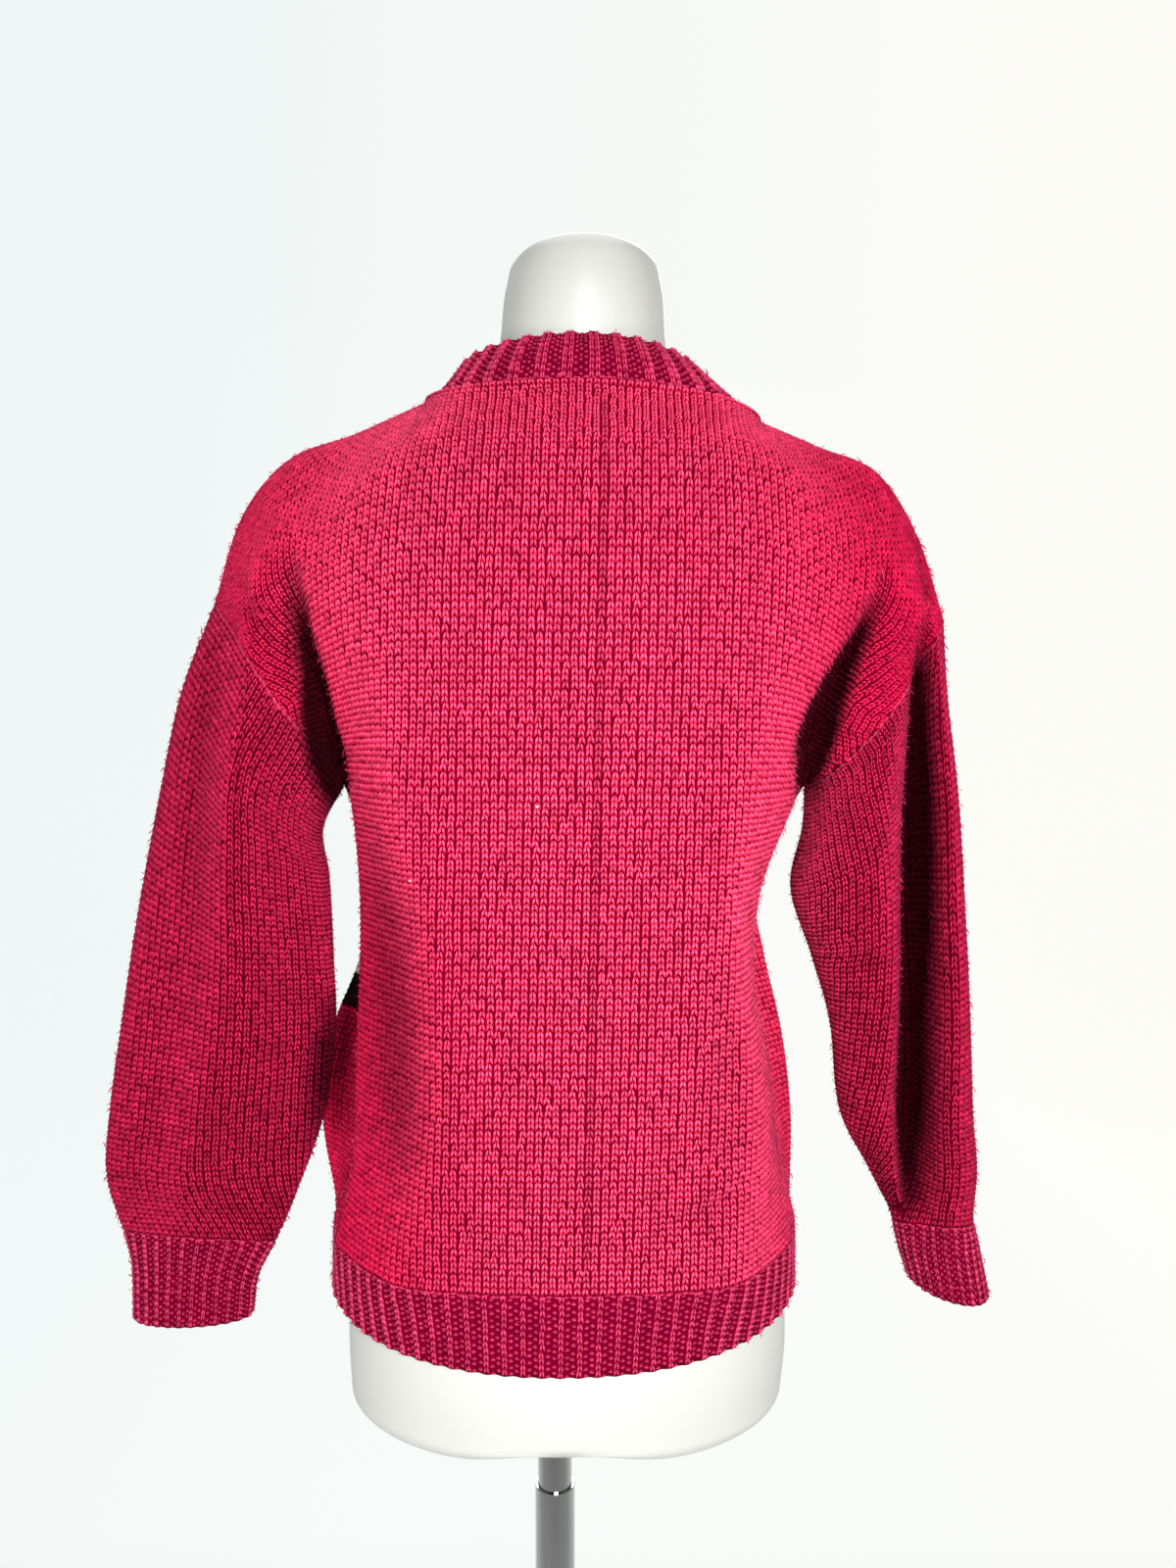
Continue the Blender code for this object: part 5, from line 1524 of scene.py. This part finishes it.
@dataclass
class DressForm:
    """The cream limbless form, finely rounded, on the chrome tubes."""

    sides: int = 144
    row_length: float = 0.006
    lobe_rows: int = 18
    top_rows: int = 3

    def rings(self) -> Array:
        """Rings of the form from the hips to the top of the neck."""
        heights = column(FORM, FORM_COLUMNS, "height")
        counts = tuple(max(self.top_rows, round(gap / self.row_length)) for gap in np.diff(heights))
        values = smooth_through(heights, np.array(FORM, dtype=float), stepped(heights, counts))
        angle = np.arange(self.sides) * 2 * math.pi / self.sides
        height, shift, half_width, back, front = (values[:, k][:, None] for k in range(5))
        depth = np.where(np.sin(angle)[None] < 0, back, front)
        x = axis_x(height) + shift + half_width * np.cos(angle)[None]
        y = depth * np.sin(angle)[None]
        return np.stack([x, y, np.broadcast_to(height, x.shape)], axis=-1)

    def lobes(self, hips: Array) -> Array:
        """Rings that round the hips off below into two short lobes."""
        middle = (hips[:, 0].max() + hips[:, 0].min()) / 2
        top = hips[0, 2]
        x = hips[:, 0] - middle
        spread = np.sign(x) * np.minimum(np.abs(x), LOBE_SPREAD)
        foot = LOBE_FOOT + (CROTCH - LOBE_FOOT) * np.exp(-((x / CROTCH_WIDTH) ** 2))
        share = np.linspace(1.0, 0.0, self.lobe_rows, endpoint=False)[:, None]
        shrink = np.cos(share * math.pi / 2)
        rings = np.empty((self.lobe_rows, len(hips), 3))
        rings[..., 0] = middle + spread + (x - spread) * shrink
        rings[..., 1] = hips[:, 1] * shrink
        rings[..., 2] = top + (foot - top) * np.sin(share * math.pi / 2)
        return rings

    def build(self, finish: bpy.types.Material) -> None:
        """Make the form."""
        upper = self.rings()
        rings = np.concatenate([self.lobes(upper[0]), upper])
        rows, wide = rings.shape[:2]
        ids = np.arange(rows * wide).reshape(rows, wide)
        beside = np.roll(ids, -1, axis=1)
        faces = np.stack([ids[:-1], beside[:-1], beside[1:], ids[1:]], axis=-1).reshape(-1, 4)
        top = np.array([[axis_x(FORM_TOP), 0.0, FORM_TOP]])
        last = ids[-1]
        cap = np.stack([last[0::2], last[1::2], np.roll(last[0::2], -1),
                        np.full(wide // 2, rows * wide)], axis=-1)
        points = np.concatenate([rings.reshape(-1, 3), top])
        form = add_piece("dress_form", points, np.concatenate([faces, cap]), finish)
        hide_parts("form")


@dataclass
class Studio:
    """Camera, pale backdrop and soft light."""

    lens: float = 26.01
    sensor: float = 36.0
    place: Triple = (0.025, -0.82, 1.17)
    tilt: float = 86.04
    floor_tone: float = 0.90
    wall_tone: float = 0.04
    wall_from: Pair = (-0.2, 0.7)
    floor_seen: float = 0.40
    cool: Triple = (0.855, 0.905, 0.905)
    warm: Triple = (0.955, 0.950, 0.915)
    tint_reach: float = 1.4
    world: Triple = (1.0, 1.0, 0.99)
    world_strength: float = 0.12
    world_seen: float = 0.88
    sweep_front: float = -3.0
    sweep_bend: float = 2.2
    sweep_radius: float = 0.8
    sweep_heights: Pair = (2.0, 4.5)
    sweep_half_width: float = 5.0

    def camera(self) -> None:
        """Place the camera where the photo was taken from."""
        data = bpy.data.cameras.new("camera")
        data.sensor_fit = "VERTICAL"
        data.sensor_height = self.sensor
        data.lens = self.lens
        data.clip_start = 0.01
        camera = bpy.data.objects.new("camera", data)
        camera.location = self.place
        camera.rotation_euler = (math.radians(self.tilt), 0.0, 0.0)
        bpy.context.collection.objects.link(camera)
        bpy.context.scene.camera = camera

    def hang(self, data: bpy.types.Light, power: float, place: Triple, target: Triple) -> None:
        """Hang a light at a place, looking at a point."""
        data.energy = power
        lamp = bpy.data.objects.new(data.name, data)
        turn = (Vector(target) - Vector(place)).to_track_quat("-Z", "Y")
        lamp.matrix_world = Matrix.Translation(place) @ turn.to_matrix().to_4x4()
        bpy.context.collection.objects.link(lamp)

    def light(self, name: str, place: Triple, target: Triple, size: float, power: float) -> None:
        """A soft square light that looks at a point."""
        data = bpy.data.lights.new(name, "AREA")
        data.shape = "SQUARE"
        data.size = size
        self.hang(data, power, place, target)

    def spot(self, name: str, place: Triple, target: Triple, cone: float, radius: float,
             power: float) -> None:
        """A round light whose pool fades softly from its middle."""
        data = bpy.data.lights.new(name, "SPOT")
        data.spot_size = math.radians(cone)
        data.spot_blend = 1.0
        data.shadow_soft_size = radius
        self.hang(data, power, place, target)

    def sky(self) -> None:
        """A pale world that the camera sees brighter than it lights."""
        world = bpy.data.worlds.new("studio")
        world.use_nodes = True
        nodes, links = world.node_tree.nodes, world.node_tree.links
        sky = nodes["Background"]
        sky.inputs["Color"].default_value = (*self.world, 1.0)
        rays = nodes.new("ShaderNodeLightPath")
        seen = nodes.new("ShaderNodeMapRange")
        seen.inputs["To Min"].default_value = self.world_strength
        seen.inputs["To Max"].default_value = self.world_seen
        links.new(rays.outputs["Is Camera Ray"], seen.inputs["Value"])
        links.new(seen.outputs["Result"], sky.inputs["Strength"])
        bpy.context.scene.world = world

    def sweep(self) -> None:
        """The floor, which bends up into a wall behind the stand."""
        depth = np.linspace(self.sweep_front, self.sweep_bend, 27)
        bend = np.linspace(0.0, np.pi / 2, 12)[1:]
        radius = self.sweep_radius
        back = self.sweep_bend + radius
        profile = np.concatenate([
            np.stack([depth, 0.0 * depth], axis=-1),
            np.stack([self.sweep_bend + radius * np.sin(bend), radius - radius * np.cos(bend)], axis=-1),
            np.array([[back, height] for height in self.sweep_heights]),
        ])
        wide = np.linspace(-self.sweep_half_width, self.sweep_half_width, 11)
        shape = (len(profile), len(wide))
        grid = np.stack([
            np.broadcast_to(wide, shape),
            np.broadcast_to(profile[:, :1], shape),
            np.broadcast_to(profile[:, 1:], shape),
        ], axis=-1)
        ids = np.arange(len(profile) * len(wide)).reshape(shape)
        faces = np.stack([ids[:-1, :-1], ids[:-1, 1:], ids[1:, 1:], ids[1:, :-1]], axis=-1)
        mesh = bpy.data.meshes.new("sweep")
        mesh.from_pydata(grid.reshape(-1, 3).tolist(), [], faces.reshape(-1, 4).tolist())
        mesh.shade_smooth()
        mesh.materials.append(self.paper())
        sweep = bpy.data.objects.new("sweep", mesh)
        bpy.context.collection.objects.link(sweep)

    def set(self) -> None:
        """Make the world, the sweep and the lights."""
        bpy.context.scene.view_settings.view_transform = "Standard"
        self.sky()
        self.sweep()
        self.spot("key", (0.22, -1.45, 1.50), (0.03, 0.0, 0.97), 50.0, 0.14, 145.0)
        self.spot("nape", (0.05, -1.25, 1.75), (0.035, 0.0, 1.455), 16.0, 0.10, 17.0)
        self.spot("low", (-0.25, -1.50, 0.45), (0.0, 0.0, 0.72), 90.0, 0.25, 38.0)
        self.light("over", (0.0, 0.5, 3.0), (0.0, 0.0, 1.2), 1.4, 12.0)
        self.light("far", (0.3, 2.6, 2.9), (0.0, 0.0, 1.1), 1.2, 34.0)

    def paper(self) -> bpy.types.Material:
        """Pale paper that glows where the floor runs back past the stand."""
        nodes, shader = new_material("sweep_paper")
        split = nodes.add("ShaderNodeSeparateXYZ")
        nodes.link(nodes.place(), split.inputs["Vector"])
        rays = nodes.add("ShaderNodeLightPath")
        glow = nodes.carried(split.outputs["Y"], self.wall_from, (0.0, 1.0))
        seen = nodes.carried(rays.outputs["Is Camera Ray"], (0.0, 1.0), (0.0, self.floor_seen))
        nodes.link(nodes.joined("MAXIMUM", glow, seen), shader.inputs["Emission Strength"])
        tint = nodes.add("ShaderNodeValToRGB")
        left, right = tint.color_ramp.elements
        left.color = (*self.cool, 1.0)
        right.color = (*self.warm, 1.0)
        across = nodes.carried(split.outputs["X"], (-self.tint_reach, self.tint_reach), (0.0, 1.0))
        nodes.link(across, tint.inputs["Fac"])
        nodes.link(tint.outputs["Color"], shader.inputs["Emission Color"])
        dim = nodes.carried(split.outputs["Y"], self.wall_from, (self.floor_tone, self.wall_tone))
        nodes.link(dim, shader.inputs["Base Color"])
        shader.inputs["Roughness"].default_value = 0.95
        shader.inputs["Specular IOR Level"].default_value = 0.0
        return nodes.material


def main() -> None:
    """Build the studio, the stand's finishes, the form and the sweater, in that order."""
    logging.basicConfig(level=logging.INFO, format="%(message)s")
    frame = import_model()
    studio = Studio()
    studio.camera()
    studio.set()
    chrome = Chrome("stand_chrome").build()
    for name in ("base", "pole_lower", "pole_upper"):
        node = frame["nodes"][name]
        node.data.materials.clear()
        node.data.materials.append(chrome)
        LOG.info("%s: chrome", name)
    DressForm().build(Moulded("cream_shell", (0.66, 0.665, 0.63), 0.34).build())
    Pullover().build(Wool("raspberry_wool").build())


if __name__ == "__main__":
    main()
